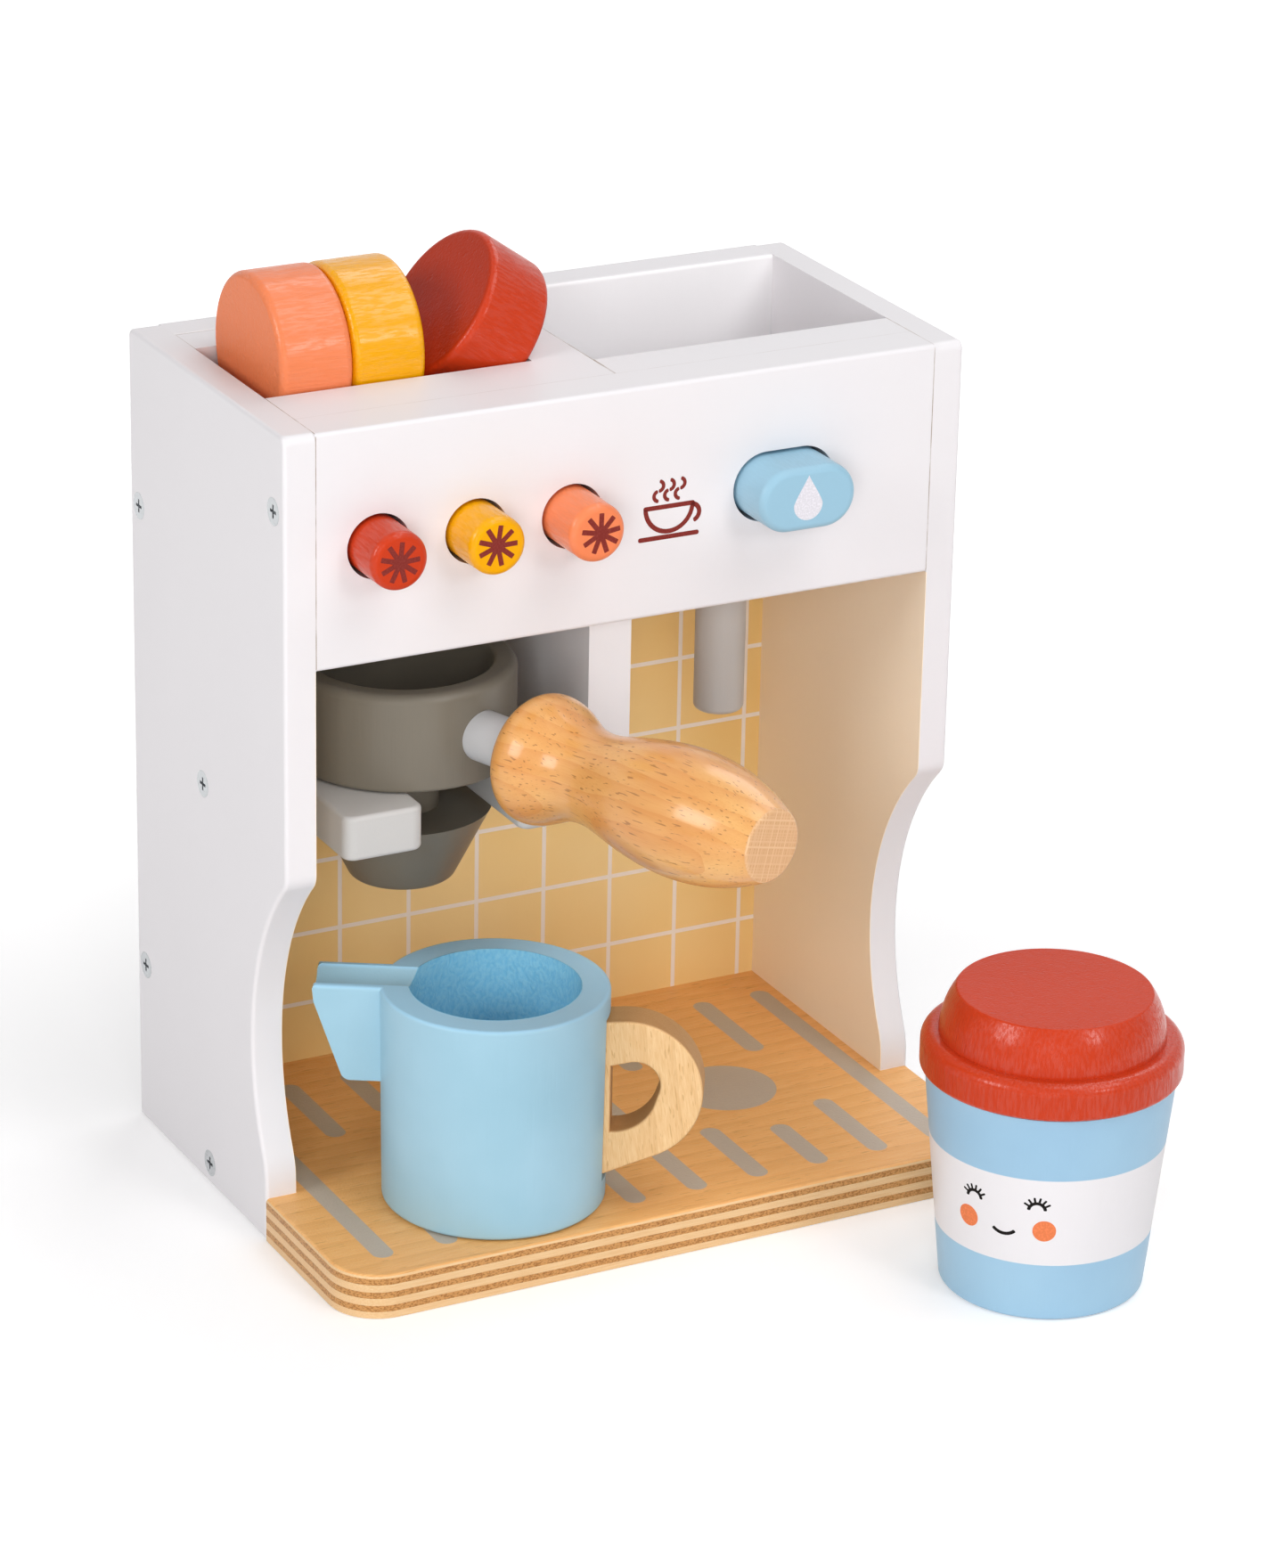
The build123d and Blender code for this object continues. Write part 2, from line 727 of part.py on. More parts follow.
ear_back = ear_flat + glue_clearance
hole_back = ear_back + ear_bar
with BuildPart() as jug_handle:
    with BuildSketch(handle_profile):
        with BuildLine():
            CenterArc((ear_arc_reach, jug_bottom + ear_arc_height), ear_radius, 0, 360)
            Line((ear_back, jug_bottom + ear_root_low), (ear_back, jug_bottom + ear_root_high))
        make_hull()
        with Locations((ear_back - ear_radius, jug_bottom + ear_arc_height)):
            Rectangle(2 * ear_radius, 3 * ear_radius, mode=Mode.SUBTRACT)
    extrude(amount=ear_thickness / 2, both=True)
    with BuildSketch(handle_profile):
        with BuildLine():
            CenterArc((ear_hole_reach, jug_bottom + ear_hole_height), ear_hole_radius, 0, 360)
            hole_foot = CenterArc(
                (hole_back, jug_bottom + ear_hole_foot_height), ear_hole_foot_radius, -90, 80
            )
            Line(hole_foot @ 0, (hole_back, jug_bottom + ear_hole_top))
        make_hull()
    extrude(amount=ear_thickness / 2, both=True, mode=Mode.SUBTRACT)
    ear_rims = jug_handle.edges().group_by(Axis(handle_profile.origin, handle_profile.z_dir))
    fillet(ear_rims[0] + ear_rims[-1], ear_edge)
jug_handle.part.label = "jug_handle"
export_step(jug_handle.part, "parts/jug_handle.step")

# ------------------------------------------------------- takeaway cup and its lid
cup_axis = Axis((cup_x, cup_y, 0), (0, 0, 1))
cup_profile = Plane(origin=(cup_x, cup_y, 0), x_dir=(1, 0, 0), z_dir=(0, -1, 0))
with BuildPart() as takeaway_cup:
    with BuildSketch(cup_profile):
        with BuildLine():
            Polyline(
                (0, 0),
                (takeaway_base_radius, 0),
                (takeaway_top_radius, takeaway_height),
                (takeaway_bore_radius, takeaway_height),
                (takeaway_bore_radius, takeaway_floor),
                (0, takeaway_floor),
                close=True,
            )
        make_face()
    revolve(axis=cup_axis)
    fillet(takeaway_cup.edges().group_by(Axis.Z)[0], jug_edge)
takeaway_cup.part.label = "takeaway_cup"
export_step(takeaway_cup.part, "parts/takeaway_cup.step")

lid_bottom = takeaway_height + lid_clearance
plug_radius = takeaway_bore_radius - lid_clearance
dome_bottom = lid_bottom + lid_rim_height
lid_top = dome_bottom + lid_dome_height
dome_middle = ((lid_dome_radius + lid_top_radius) / 2 + lid_dome_bulge, (dome_bottom + lid_top) / 2)
with BuildPart() as cup_lid:
    with BuildSketch(cup_profile):
        with BuildLine():
            dome_side = ThreePointArc((lid_top_radius, lid_top), dome_middle, (lid_dome_radius, dome_bottom))
            Polyline(
                dome_side @ 1,
                (lid_radius, dome_bottom),
                (lid_radius, lid_bottom),
                (plug_radius, lid_bottom),
                (plug_radius, lid_bottom - lid_plug_length),
                (0, lid_bottom - lid_plug_length),
                (0, lid_top),
                dome_side @ 0,
            )
        make_face()
    revolve(axis=cup_axis)
    rounds = cup_lid.edges().filter_by(GeomType.CIRCLE)
    fillet(rounds.group_by(Axis.Z)[-1], lid_top_edge)
    rounds = cup_lid.edges().filter_by(GeomType.CIRCLE)
    rim_edges = rounds.filter_by(lambda e: abs(e.radius - lid_radius) < 0.01)
    fillet(rim_edges.sort_by(Axis.Z)[-1], lid_rim_round)
    rounds = cup_lid.edges().filter_by(GeomType.CIRCLE)
    rim_edges = rounds.filter_by(lambda e: abs(e.radius - lid_radius) < 0.01)
    fillet(rim_edges.sort_by(Axis.Z)[0], lid_rim_foot_round)
cup_lid.part.label = "cup_lid"
export_step(cup_lid.part, "parts/cup_lid.step")
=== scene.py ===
# %% [markdown]
# # A wooden toy coffee maker
# The cabinet, its buttons, the portafilter, the pods, the jug and the cup arrive as a frame of
# finished solids. This lesson dresses them: camera and light first, then a few shared effects,
# then one finish after another, and last the small printed marks, which are modelled as thin
# pieces so that their outlines stay crisp at any distance.

from math import cos, pi, radians, sin, tau

import bmesh
import bpy
from mathutils import Euler, Matrix, Vector


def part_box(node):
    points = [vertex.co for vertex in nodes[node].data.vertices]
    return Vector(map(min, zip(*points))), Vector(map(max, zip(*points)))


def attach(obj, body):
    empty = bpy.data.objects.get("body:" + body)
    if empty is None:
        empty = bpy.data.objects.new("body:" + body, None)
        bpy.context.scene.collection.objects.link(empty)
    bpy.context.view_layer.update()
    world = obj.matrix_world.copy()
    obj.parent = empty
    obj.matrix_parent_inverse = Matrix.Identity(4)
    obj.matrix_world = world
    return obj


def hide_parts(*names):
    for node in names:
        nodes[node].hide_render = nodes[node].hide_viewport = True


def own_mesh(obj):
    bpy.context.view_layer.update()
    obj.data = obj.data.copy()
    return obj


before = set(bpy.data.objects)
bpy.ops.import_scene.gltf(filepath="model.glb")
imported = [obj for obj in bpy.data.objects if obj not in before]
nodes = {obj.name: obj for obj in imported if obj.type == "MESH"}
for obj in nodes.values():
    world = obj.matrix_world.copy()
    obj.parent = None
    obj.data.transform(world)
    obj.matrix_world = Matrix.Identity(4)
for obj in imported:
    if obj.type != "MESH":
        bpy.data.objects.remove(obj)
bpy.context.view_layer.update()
MM = 0.001
print("nodes in the frame:", len(nodes))

# %% [markdown]
# ## Camera
# The toy is seen from its front left, a little from above, through a long lens, so that its
# upright edges stay nearly parallel. A camera looks along its own -Z, so its matrix is built
# from three directions: right, up and back. A small roll is mixed into right and up.

# %% Camera
camera_place = Vector((-684.717, -1301.013, 735.083)) * MM
camera_turn, camera_tilt, camera_roll = radians(-27.932), radians(22.348), radians(1.2155)
focal_length = 126.957

back = Vector((
    sin(camera_turn) * cos(camera_tilt),
    -cos(camera_turn) * cos(camera_tilt),
    sin(camera_tilt),
))
level_right = (-back).cross(Vector((0, 0, 1))).normalized()
level_up = level_right.cross(-back)
right = cos(camera_roll) * level_right + sin(camera_roll) * level_up
up = -sin(camera_roll) * level_right + cos(camera_roll) * level_up

camera_data = bpy.data.cameras.new("camera")
camera_data.lens = focal_length
camera_data.sensor_width = 36
camera_data.clip_start, camera_data.clip_end = 0.05, 60
camera = bpy.data.objects.new("camera", camera_data)
axes = Matrix((right, up, back)).transposed()
camera.matrix_world = Matrix.Translation(camera_place) @ axes.to_4x4()
bpy.context.scene.collection.objects.link(camera)
bpy.context.scene.camera = camera
bpy.context.scene.view_settings.view_transform = "Standard"
print("camera distance in metres:", round(camera_place.length, 3))

# %% [markdown]
# ## Wiring helpers
# A node tree reads better when a step is one call. This small class adds a node, links or sets
# its inputs and hands back the output, both in a material and inside a shared node group.

# %% Colours and wiring


def paint(code):
    """The linear colour of a hex code that is written as it looks on a screen."""
    parts = [int(code[i:i + 2], 16) / 255 for i in (1, 3, 5)]
    return [p / 12.92 if p <= 0.04045 else ((p + 0.055) / 1.055) ** 2.4 for p in parts] + [1.0]


def shaded(colour, share):
    """The same colour with that share of its brightness."""
    return [part * share for part in colour[:3]] + [1.0]


class Wiring:
    """Short calls that add and link the nodes of one tree."""

    def __init__(self, tree):
        self.tree = tree

    def plug(self, socket, value):
        if isinstance(value, bpy.types.NodeSocket):
            self.tree.links.new(value, socket)
        elif value is not None:
            socket.default_value = value

    def add(self, kind, inputs=None, **settings):
        node = self.tree.nodes.new("ShaderNode" + kind)
        for key, value in settings.items():
            setattr(node, key, value)
        for key, value in (inputs or {}).items():
            self.plug(node.inputs[key], value)
        return node

    def math(self, operation, *values):
        node = self.add("Math", operation=operation)
        for socket, value in zip(node.inputs, values):
            self.plug(socket, value)
        return node.outputs[0]

    def between(self, value, low, high, to_low=0.0, to_high=1.0):
        """Value, from low to high, becomes to_low to to_high, and stays within them."""
        places = {
            "Value": value, "From Min": low, "From Max": high, "To Min": to_low, "To Max": to_high,
        }
        return self.add("MapRange", places).outputs[0]

    def above(self, value, edge, blur):
        """0 below the edge and 1 above it, with a blur of that half width."""
        return self.between(value, edge - blur, edge + blur)

    def below(self, value, edge, blur):
        """1 below the edge and 0 above it, with a blur of that half width."""
        return self.between(value, edge - blur, edge + blur, 1.0, 0.0)

    def mix(self, factor, first, second):
        node = self.add("Mix", data_type="RGBA")
        for index, value in ((0, factor), (6, first), (7, second)):
            self.plug(node.inputs[index], value)
        return node.outputs[2]

    def place(self, vector, location=(0, 0, 0), rotation=(0, 0, 0), scale=(1, 1, 1)):
        places = {"Vector": vector, "Location": location, "Rotation": rotation, "Scale": scale}
        return self.add("Mapping", places).outputs[0]

    def noise(self, vector, scale, detail=2.0, roughness=0.5):
        settings = {"Vector": vector, "Scale": scale, "Detail": detail, "Roughness": roughness}
        return self.add("TexNoise", settings).outputs["Fac"]

    def split(self, vector):
        return self.add("SeparateXYZ", {"Vector": vector}).outputs[:]

    def length(self, vector):
        return self.add("VectorMath", {0: vector}, operation="LENGTH").outputs["Value"]

    def hypotenuse(self, first, second):
        squares = self.math("ADD", self.math("POWER", first, 2), self.math("POWER", second, 2))
        return self.math("SQRT", squares)

    def group(self, tree, **inputs):
        node = self.add("Group", node_tree=tree)
        for key, value in inputs.items():
            self.plug(node.inputs[key.replace("_", " ")], value)
        return node.outputs


print("a middle grey, linear:", [round(part, 3) for part in paint("#808080")])

# %% [markdown]
# ## Light, air and floor
# Two soft boxes, one at the left and one at the front right, leave the highlights on the gloss.
# Two more hang above and brighten the tops and the open tray, and one beside the camera fills
# the bay: it is left out of reflections, so that it adds no highlight. The room is the world's
# colour. Rays from the camera, and rays that a gloss reflects, see plain white instead. The
# floor is a pale diffuse sheet that adds a little of its own light for those same rays, more of
# it further out, so that it fades to white and keeps its shadows.

# %% Rays that should see white


def white_rays(wiring):
    """1 for camera, glossy and transmission rays, and 0 for the rays that carry light."""
    rays = wiring.add("LightPath").outputs
    seen = wiring.math("MAXIMUM", rays["Is Camera Ray"], rays["Is Glossy Ray"])
    return wiring.math("MAXIMUM", seen, rays["Is Transmission Ray"])


# %% World and soft boxes
room_strength = 0.15
world = bpy.data.worlds.new("room")
bpy.context.scene.world = world
world.use_nodes = True
room = Wiring(world.node_tree)
sky = world.node_tree.nodes["Background"]
room.plug(sky.inputs["Color"], paint("#fdfdff"))
room.plug(sky.inputs["Strength"], room.between(white_rays(room), 0, 1, room_strength, 1.0))

lamp_distance, lamps_aim = 1.8, Vector((0, 0, 0.1))


def soft_box(name, towards, size, share):
    """A square lamp in that direction; share is the brightness it gives to what faces it."""
    lamp = bpy.data.lights.new(name, "AREA")
    lamp.shape = "SQUARE"
    lamp.size = size
    lamp.energy = share * (pi * lamp_distance) ** 2
    holder = bpy.data.objects.new(name, lamp)
    direction = Vector(towards).normalized()
    turned = direction.to_track_quat("Z", "Y").to_matrix().to_4x4()
    holder.matrix_world = Matrix.Translation(direction * lamp_distance + lamps_aim) @ turned
    bpy.context.scene.collection.objects.link(holder)
    print(name, "watts:", round(lamp.energy, 1))
    return holder


soft_box("left_light", (-0.985, -0.174, 0.53), size=0.7, share=0.30)
soft_box("right_light", (0.30, -0.95, 0.50), size=0.42, share=0.13)
soft_box("top_light", (0.55, 0.40, 0.85), size=1.0, share=0.25)
soft_box("front_top_light", (0.30, -0.42, 1.0), size=1.2, share=0.36)
fill = soft_box("fill_light", (-0.47, -0.88, 0.28), size=0.9, share=0.43)
fill.visible_glossy = False

# %% Floor
floor_reach, floor_drop = 8.0, 0.2 * MM
near_glow, far_glow = 0.28, 0.68
near, far = 0.15, 0.6
bm = bmesh.new()
bmesh.ops.create_grid(bm, x_segments=1, y_segments=1, size=floor_reach)
bmesh.ops.translate(bm, verts=bm.verts, vec=(0, 0, -floor_drop))
floor_mesh = bpy.data.meshes.new("floor")
bm.to_mesh(floor_mesh)
bm.free()
floor = bpy.data.objects.new("floor", floor_mesh)
bpy.context.scene.collection.objects.link(floor)

floor_material = bpy.data.materials.new("pale floor")
floor_material.use_nodes = True
floor_wiring = Wiring(floor_material.node_tree)
floor_shader = floor_material.node_tree.nodes["Principled BSDF"]
floor_shader.inputs["Base Color"].default_value = paint("#efeeee")
floor_shader.inputs["Roughness"].default_value = 0.9
floor_shader.inputs["Specular IOR Level"].default_value = 0.1
floor_shader.inputs["Emission Color"].default_value = paint("#ffffff")
floor_place = floor_wiring.add("TexCoord").outputs["Object"]
spread = floor_wiring.between(floor_wiring.length(floor_place), near, far, near_glow, far_glow)
glow = floor_wiring.math("MULTIPLY", white_rays(floor_wiring), spread)
floor_wiring.plug(floor_shader.inputs["Emission Strength"], glow)
floor_mesh.materials.append(floor_material)

# %% [markdown]
# ## Shared effect: paint over wood
# Even smooth paint shows the wood below it. Long ridges follow the grain, small dents stay open
# where a pore was, and the film itself is slightly uneven, like orange peel. The effect is a
# node group, so that every paint uses the same one. Its vector has the grain along Z.

# %% New groups and the painted surface


def new_group(name, inputs, outputs):
    """An empty node group with those sockets: its tree, wiring, inputs and output node."""
    tree = bpy.data.node_groups.new(name, "ShaderNodeTree")
    for label, kind, value in inputs:
        socket = tree.interface.new_socket(label, in_out="INPUT", socket_type=kind)
        socket.default_value = value
    for label, kind in outputs:
        tree.interface.new_socket(label, in_out="OUTPUT", socket_type=kind)
    source = tree.nodes.new("NodeGroupInput")
    sink = tree.nodes.new("NodeGroupOutput")
    return tree, Wiring(tree), source.outputs, sink.inputs


def painted_surface_group():
    tree, wiring, given, made = new_group(
        "painted surface",
        [("Vector", "NodeSocketVector", (0, 0, 0)), ("Dents", "NodeSocketFloat", 1.0)],
        [("Height", "NodeSocketFloat"), ("Tone", "NodeSocketFloat")],
    )
    along = wiring.place(given["Vector"], scale=(1, 1, 0.08))
    ridges = wiring.noise(along, 1300, detail=3)
    film = wiring.noise(given["Vector"], 330, detail=1)
    pits = wiring.between(wiring.noise(along, 520, detail=1), 0.64, 0.74)
    body = wiring.math("MULTIPLY_ADD", ridges, 0.6, wiring.math("MULTIPLY", film, 0.4))
    sunk = wiring.math("MULTIPLY", pits, given["Dents"])
    wiring.plug(made["Height"], wiring.math("SUBTRACT", body, sunk))
    wiring.plug(made["Tone"], wiring.noise(given["Vector"], 22, detail=3))
    return tree


painted_surface = painted_surface_group()
print("group:", painted_surface.name, "with", len(painted_surface.nodes), "nodes")

# %% [markdown]
# ## Shared effect: wood figure
# Clear lacquer shows the wood itself: broad year rings, fine fibres, and pores, which a cut
# along the grain opens into short dark dashes. The rings are circles round the grain's axis,
# bent by noise. The pores are stretched noise, of which only the peaks are kept.

# %% Wood figure


def wood_figure_group():
    tree, wiring, given, made = new_group(
        "wood figure",
        [
            ("Vector", "NodeSocketVector", (0, 0, 0)),
            ("Ring Width", "NodeSocketFloat", 0.004),
            ("Pore Scale", "NodeSocketFloat", 1400.0),
            ("Pore Share", "NodeSocketFloat", 0.5),
        ],
        [
            ("Rings", "NodeSocketFloat"),
            ("Fibres", "NodeSocketFloat"),
            ("Pores", "NodeSocketFloat"),
        ],
    )
    slow = wiring.noise(wiring.place(given["Vector"], scale=(1, 1, 0.25)), 42, detail=2)
    x, y, _ = wiring.split(given["Vector"])
    bend = 11 * MM
    bent = wiring.math("MULTIPLY_ADD", slow, bend, wiring.hypotenuse(x, y))
    turns = wiring.math("DIVIDE", bent, given["Ring Width"])
    saw = wiring.math("FRACT", turns)
    wiring.plug(made["Rings"], wiring.math("POWER", saw, 2.2))
    along = wiring.place(given["Vector"], scale=(1, 1, 0.04))
    wiring.plug(made["Fibres"], wiring.noise(along, 2600, detail=3, roughness=0.6))
    stretched = wiring.place(given["Vector"], scale=(1, 1, 0.1))
    dashes = wiring.noise(stretched, given["Pore Scale"], detail=0)
    threshold = wiring.between(given["Pore Share"], 0, 1, 0.80, 0.62)
    limit = wiring.math("ADD", threshold, 0.05)
    wiring.plug(made["Pores"], wiring.between(dashes, threshold, limit))
    return tree


wood_figure = wood_figure_group()
print("group:", wood_figure.name, "with", len(wood_figure.nodes), "nodes")

# %% [markdown]
# ## Shared effect: a printed bar
# The prints on the base are rounded bars and discs. Both are all the points within some
# distance of a short straight line, and a disc is that with a line of no length. The group
# measures the distance and turns it into a mask with a soft edge, as ink has.

# %% Printed bar


def printed_bar_group():
    tree, wiring, given, made = new_group(
        "printed bar",
        [
            ("Across", "NodeSocketFloat", 0.0),
            ("Along", "NodeSocketFloat", 0.0),
            ("Place", "NodeSocketFloat", 0.0),
            ("Start", "NodeSocketFloat", 0.0),
            ("End", "NodeSocketFloat", 0.0),
            ("Radius", "NodeSocketFloat", 0.003),
        ],
        [("Mask", "NodeSocketFloat")],
    )
    sideways = wiring.math("SUBTRACT", given["Across"], given["Place"])
    before = wiring.math("SUBTRACT", given["Start"], given["Along"])
    beyond = wiring.math("SUBTRACT", given["Along"], given["End"])
    lengthways = wiring.math("MAXIMUM", wiring.math("MAXIMUM", before, beyond), 0.0)
    distance = wiring.math("SUBTRACT", wiring.hypotenuse(sideways, lengthways), given["Radius"])
    wiring.plug(made["Mask"], wiring.below(distance, 0.0, 0.08 * MM))
    return tree


printed_bar = printed_bar_group()
print("group:", printed_bar.name, "with", len(printed_bar.nodes), "nodes")

# %% [markdown]
# ## A finish in one call
# Every finish starts the same way: a Principled shader, the piece's Object coordinates, and a
# bump that reads some height. What differs is the colour, so each finish adds its own nodes.

# %% Starting and using a finish


def start_finish(name, roughness, specular=0.3, coat=0.0, coat_roughness=0.08):
    """A new material, its wiring, its shader and its Object coordinates."""
    material = bpy.data.materials.new(name)
    material.use_nodes = True
    shader = material.node_tree.nodes["Principled BSDF"]
    shader.inputs["Roughness"].default_value = roughness
    shader.inputs["Specular IOR Level"].default_value = specular
    shader.inputs["Coat Weight"].default_value = coat
    shader.inputs["Coat Roughness"].default_value = coat_roughness
    wiring = Wiring(material.node_tree)
    return material, wiring, shader.inputs, wiring.add("TexCoord").outputs["Object"]


def add_bump(wiring, shader, height, depth):
    """A bump of that depth in metres, from a height between 0 and 1."""
    settings = {"Height": height, "Distance": depth, "Strength": 1.0}
    wiring.plug(shader["Normal"], wiring.add("Bump", settings).outputs["Normal"])


def dress(material, *names):
    """These nodes of the frame wear that material."""
    for name in names:
        for slot in nodes[name].material_slots:
            slot.material = material
    print(material.name, "on", ", ".join(names))


def drifting(wiring, surface, first, second):
    """A colour that drifts from the first to the second with the tone of a painted surface."""
    return wiring.mix(wiring.between(surface["Tone"], 0.35, 0.65), first, second)


def tinted(wiring, wood, mask, share, code):
    """Where the mask is 1, the wood takes on that share of another colour."""
    return wiring.mix(wiring.math("MULTIPLY", mask, share), wood, paint(code))


ALONG_X = (0, radians(90), 0)
ALONG_Y = (radians(90), 0, 0)
ALONG_Z = (0, 0, 0)

# %% [markdown]
# ## Paints
# The cabinet is sprayed white with a satin sheen, and the small parts are dipped in colour,
# which leaves more gloss and more of the wood's dents. One function makes the plain paints: it
# takes the colour, the gloss, the direction of the grain, and how deep the surface is worked.
# The dipped parts have one of their own, because their ends differ from their sides.

# %% One function for every plain paint


def painted(name, code, roughness, grain, depth, dents, shade):
    """A paint whose tone drifts a little, over ridges and dents that follow the grain."""
    material, wiring, shader, place = start_finish(name, roughness)
    turned = wiring.place(place, rotation=grain)
    surface = wiring.group(painted_surface, Vector=turned, Dents=dents)
    bright = paint(code)
    wiring.plug(shader["Base Color"], drifting(wiring, surface, shaded(bright, shade), bright))
    spread = wiring.between(surface["Tone"], 0.3, 0.7, roughness + 0.05, roughness - 0.04)
    wiring.plug(shader["Roughness"], spread)
    add_bump(wiring, shader, surface["Height"], depth)
    return material


# %% White boards and grey parts
white, painted_light_white, painted_bounce_white = "#ece9eb", "#f8f5f6", "#ffeed6"
# The divider and the tray's wall get a brighter white than the other boards: painted light in the
# shaded bay and tray.
for name, code, roughness, grain, depth, dents, shade, wearers in (
    ("white paint upright, painted lighter", painted_light_white, 0.42, ALONG_Z, 0.03, 0.2, 0.985,
     ("divider", "tray_wall")),
    ("white paint level", white, 0.40, ALONG_X, 0.03, 0.2, 0.985, ("pod_floor", "shelf")),
    ("light grey paint", "#c9c8c6", 0.38, ALONG_Y, 0.04, 0.3, 0.97, ("fork",)),
    ("light grey wand paint", "#beb8b2", 0.38, ALONG_Z, 0.04, 0.3, 0.97, ("milk_wand",)),
    ("light grey dowel paint", "#c6c7c9", 0.38, ALONG_Z, 0.04, 0.3, 0.97, ("handle_dowel",)),
    ("dark grey paint", "#80796c", 0.33, ALONG_Z, 0.05, 0.4, 0.93, ("filter_cup",)),
):
    dress(painted(name, code, roughness, grain, depth * MM, dents, shade), *wearers)

# %% [markdown]
# ### Boards that show their seams
# Where two painted boards meet, the paint breaks along the joint and leaves a thin brownish
# line on their tops and fronts, which comes and goes. The boards' own boxes tell where that is:
# at both ends, where they meet their neighbours, and along the back edge. Below the shelf the side
# panels' inner faces are painted a warmer white, as painted light from the base's wood shining on
# them.

# %% Boards with seams
seam_width, skin = 0.28 * MM, 0.12 * MM


def board_with_seams(name, ends, back_edge):
    """White paint with a seam along the ends and the back edge; each has its own strength."""
    low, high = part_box(name)
    material, wiring, shader, place = start_finish("white paint of " + name, 0.40)
    turned = wiring.place(place, rotation=ALONG_X)
    surface = wiring.group(painted_surface, Vector=turned, Dents=0.2)
    plain = wiring.mix(surface["Tone"], shaded(paint(white), 0.985), paint(white))
    x, y, z = wiring.split(place)
    on_top = wiring.math("GREATER_THAN", z, high.z - skin)
    in_view = wiring.math("MAXIMUM", on_top, wiring.math("LESS_THAN", y, low.y + skin))
    left = wiring.math("LESS_THAN", x, low.x + seam_width)
    right = wiring.math("GREATER_THAN", x, high.x - seam_width)
    behind = wiring.math("GREATER_THAN", y, high.y - seam_width)
    at_ends = wiring.math("MULTIPLY", wiring.math("MAXIMUM", left, right), ends)
    at_edges = wiring.math("MAXIMUM", at_ends, wiring.math("MULTIPLY", behind, back_edge))
    seam = wiring.math("MULTIPLY", at_edges, in_view)
    broken = wiring.between(wiring.noise(place, 130, detail=4), 0.35, 0.6, 0.35, 1.0)
    line = wiring.math("MULTIPLY", seam, broken)
    wiring.plug(shader["Base Color"], wiring.mix(line, plain, paint("#8f7358")))
    add_bump(wiring, shader, wiring.math("SUBTRACT", surface["Height"], seam), 0.04 * MM)
    dress(material, name)


board_with_seams("front_panel", ends=0.8, back_edge=0.22)
board_with_seams("button_board", ends=0.8, back_edge=0.5)
board_with_seams("tray_front", ends=0.8, back_edge=0.0)
board_with_seams("pod_deck", ends=0.8, back_edge=0.8)

# %% Side panels
for name, inner_side in (("side_panel_left", 1), ("side_panel_right", -1)):
    low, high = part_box(name)
    material, wiring, shader, place = start_finish("white paint of " + name, 0.42)
    surface = wiring.group(painted_surface, Vector=place, Dents=0.2)
    x, _, z = wiring.split(place)
    face = high.x if inner_side > 0 else low.x
    off_face = wiring.math("ABSOLUTE", wiring.math("SUBTRACT", x, face))
    under_shelf = wiring.math("LESS_THAN", z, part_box("shelf")[0].z)
    # Below the shelf the inner face is painted a warmer white: painted light, warm light thrown by
    # the base's wood and the tiles.
    inside = wiring.math("MULTIPLY", wiring.math("LESS_THAN", off_face, 0.2 * MM), under_shelf)
    tone = wiring.mix(surface["Tone"], paint("#e9e6e8"), paint(white))
    wiring.plug(shader["Base Color"], wiring.mix(inside, tone, paint(painted_bounce_white)))
    add_bump(wiring, shader, surface["Height"], 0.03 * MM)
    dress(material, name)

# %% Dipped round parts
pod_thickness = 22.1 * MM
lean = (0, radians(90 - 35.1), 0)
red, yellow, peach, blue = "#c83c1a", "#f2a902", "#f18758", "#9cc5da"


def dipped(node, code, roughness, grain, depth, coat=0.6, ends=1.0):
    """A dipped disc or dowel, whose axis lies along the grain: its side is glossier than its ends,
    and its ends keep the share called ends of its brightness, as painted shade. A pod's
    thickness is written down, because the box of a leaning one doesn't tell it."""
    low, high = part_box(node)
    upright = Euler(grain).to_matrix()
    centre = upright @ ((low + high) / 2)
    reach = Vector(abs(part) for part in upright.inverted().col[2])
    half = (pod_thickness if node.endswith("pod") else (high - low).dot(reach)) / 2
    name = node.replace("_", " ") + " paint"
    material, wiring, shader, place = start_finish(name, roughness, 0.1, coat_roughness=0.2)
    turned = wiring.place(place, rotation=grain)
    surface = wiring.group(painted_surface, Vector=turned, Dents=0.25)
    _, _, along = wiring.split(turned)
    from_middle = wiring.math("ABSOLUTE", wiring.math("SUBTRACT", along, centre.z))
    side = wiring.between(from_middle, half - 0.35 * MM, half - 0.1 * MM, 1.0, 0.0)
    streaks = wiring.noise(wiring.place(turned, scale=(1, 1, 0.16)), 1400, detail=2)
    broken = wiring.between(streaks, 0.44, 0.56, 0.25, 1.0)
    bright = paint(code)
    around = drifting(wiring, surface, shaded(bright, 0.94), bright)
    # The ends take the share called ends of the colour's brightness: painted shade where ends is
    # below 1.
    wiring.plug(shader["Base Color"], wiring.mix(side, shaded(bright, ends), around))
    gloss = wiring.math("MULTIPLY", side, coat)
    wiring.plug(shader["Coat Weight"], wiring.math("MULTIPLY", gloss, broken))
    add_bump(wiring, shader, surface["Height"], depth)
    dress(material, node)


dipped("red_button", red, 0.34, ALONG_Y, 0.08 * MM, coat=0.5)
dipped("yellow_button", yellow, 0.34, ALONG_Y, 0.08 * MM)
dipped("peach_button", peach, 0.34, ALONG_Y, 0.08 * MM)
dipped("water_button", blue, 0.38, ALONG_Y, 0.06 * MM, coat=0.3)
dipped("peach_pod", peach, 0.34, ALONG_X, 0.3 * MM)
dipped("yellow_pod", yellow, 0.30, ALONG_X, 0.3 * MM, coat=0.9)
# The red pod's ends are painted darker: painted shade.
dipped("red_pod", red, 0.32, lean, 0.2 * MM, coat=0.5, ends=0.8)
dipped("cup_lid", red, 0.30, ALONG_Z, 0.3 * MM, coat=0.6)
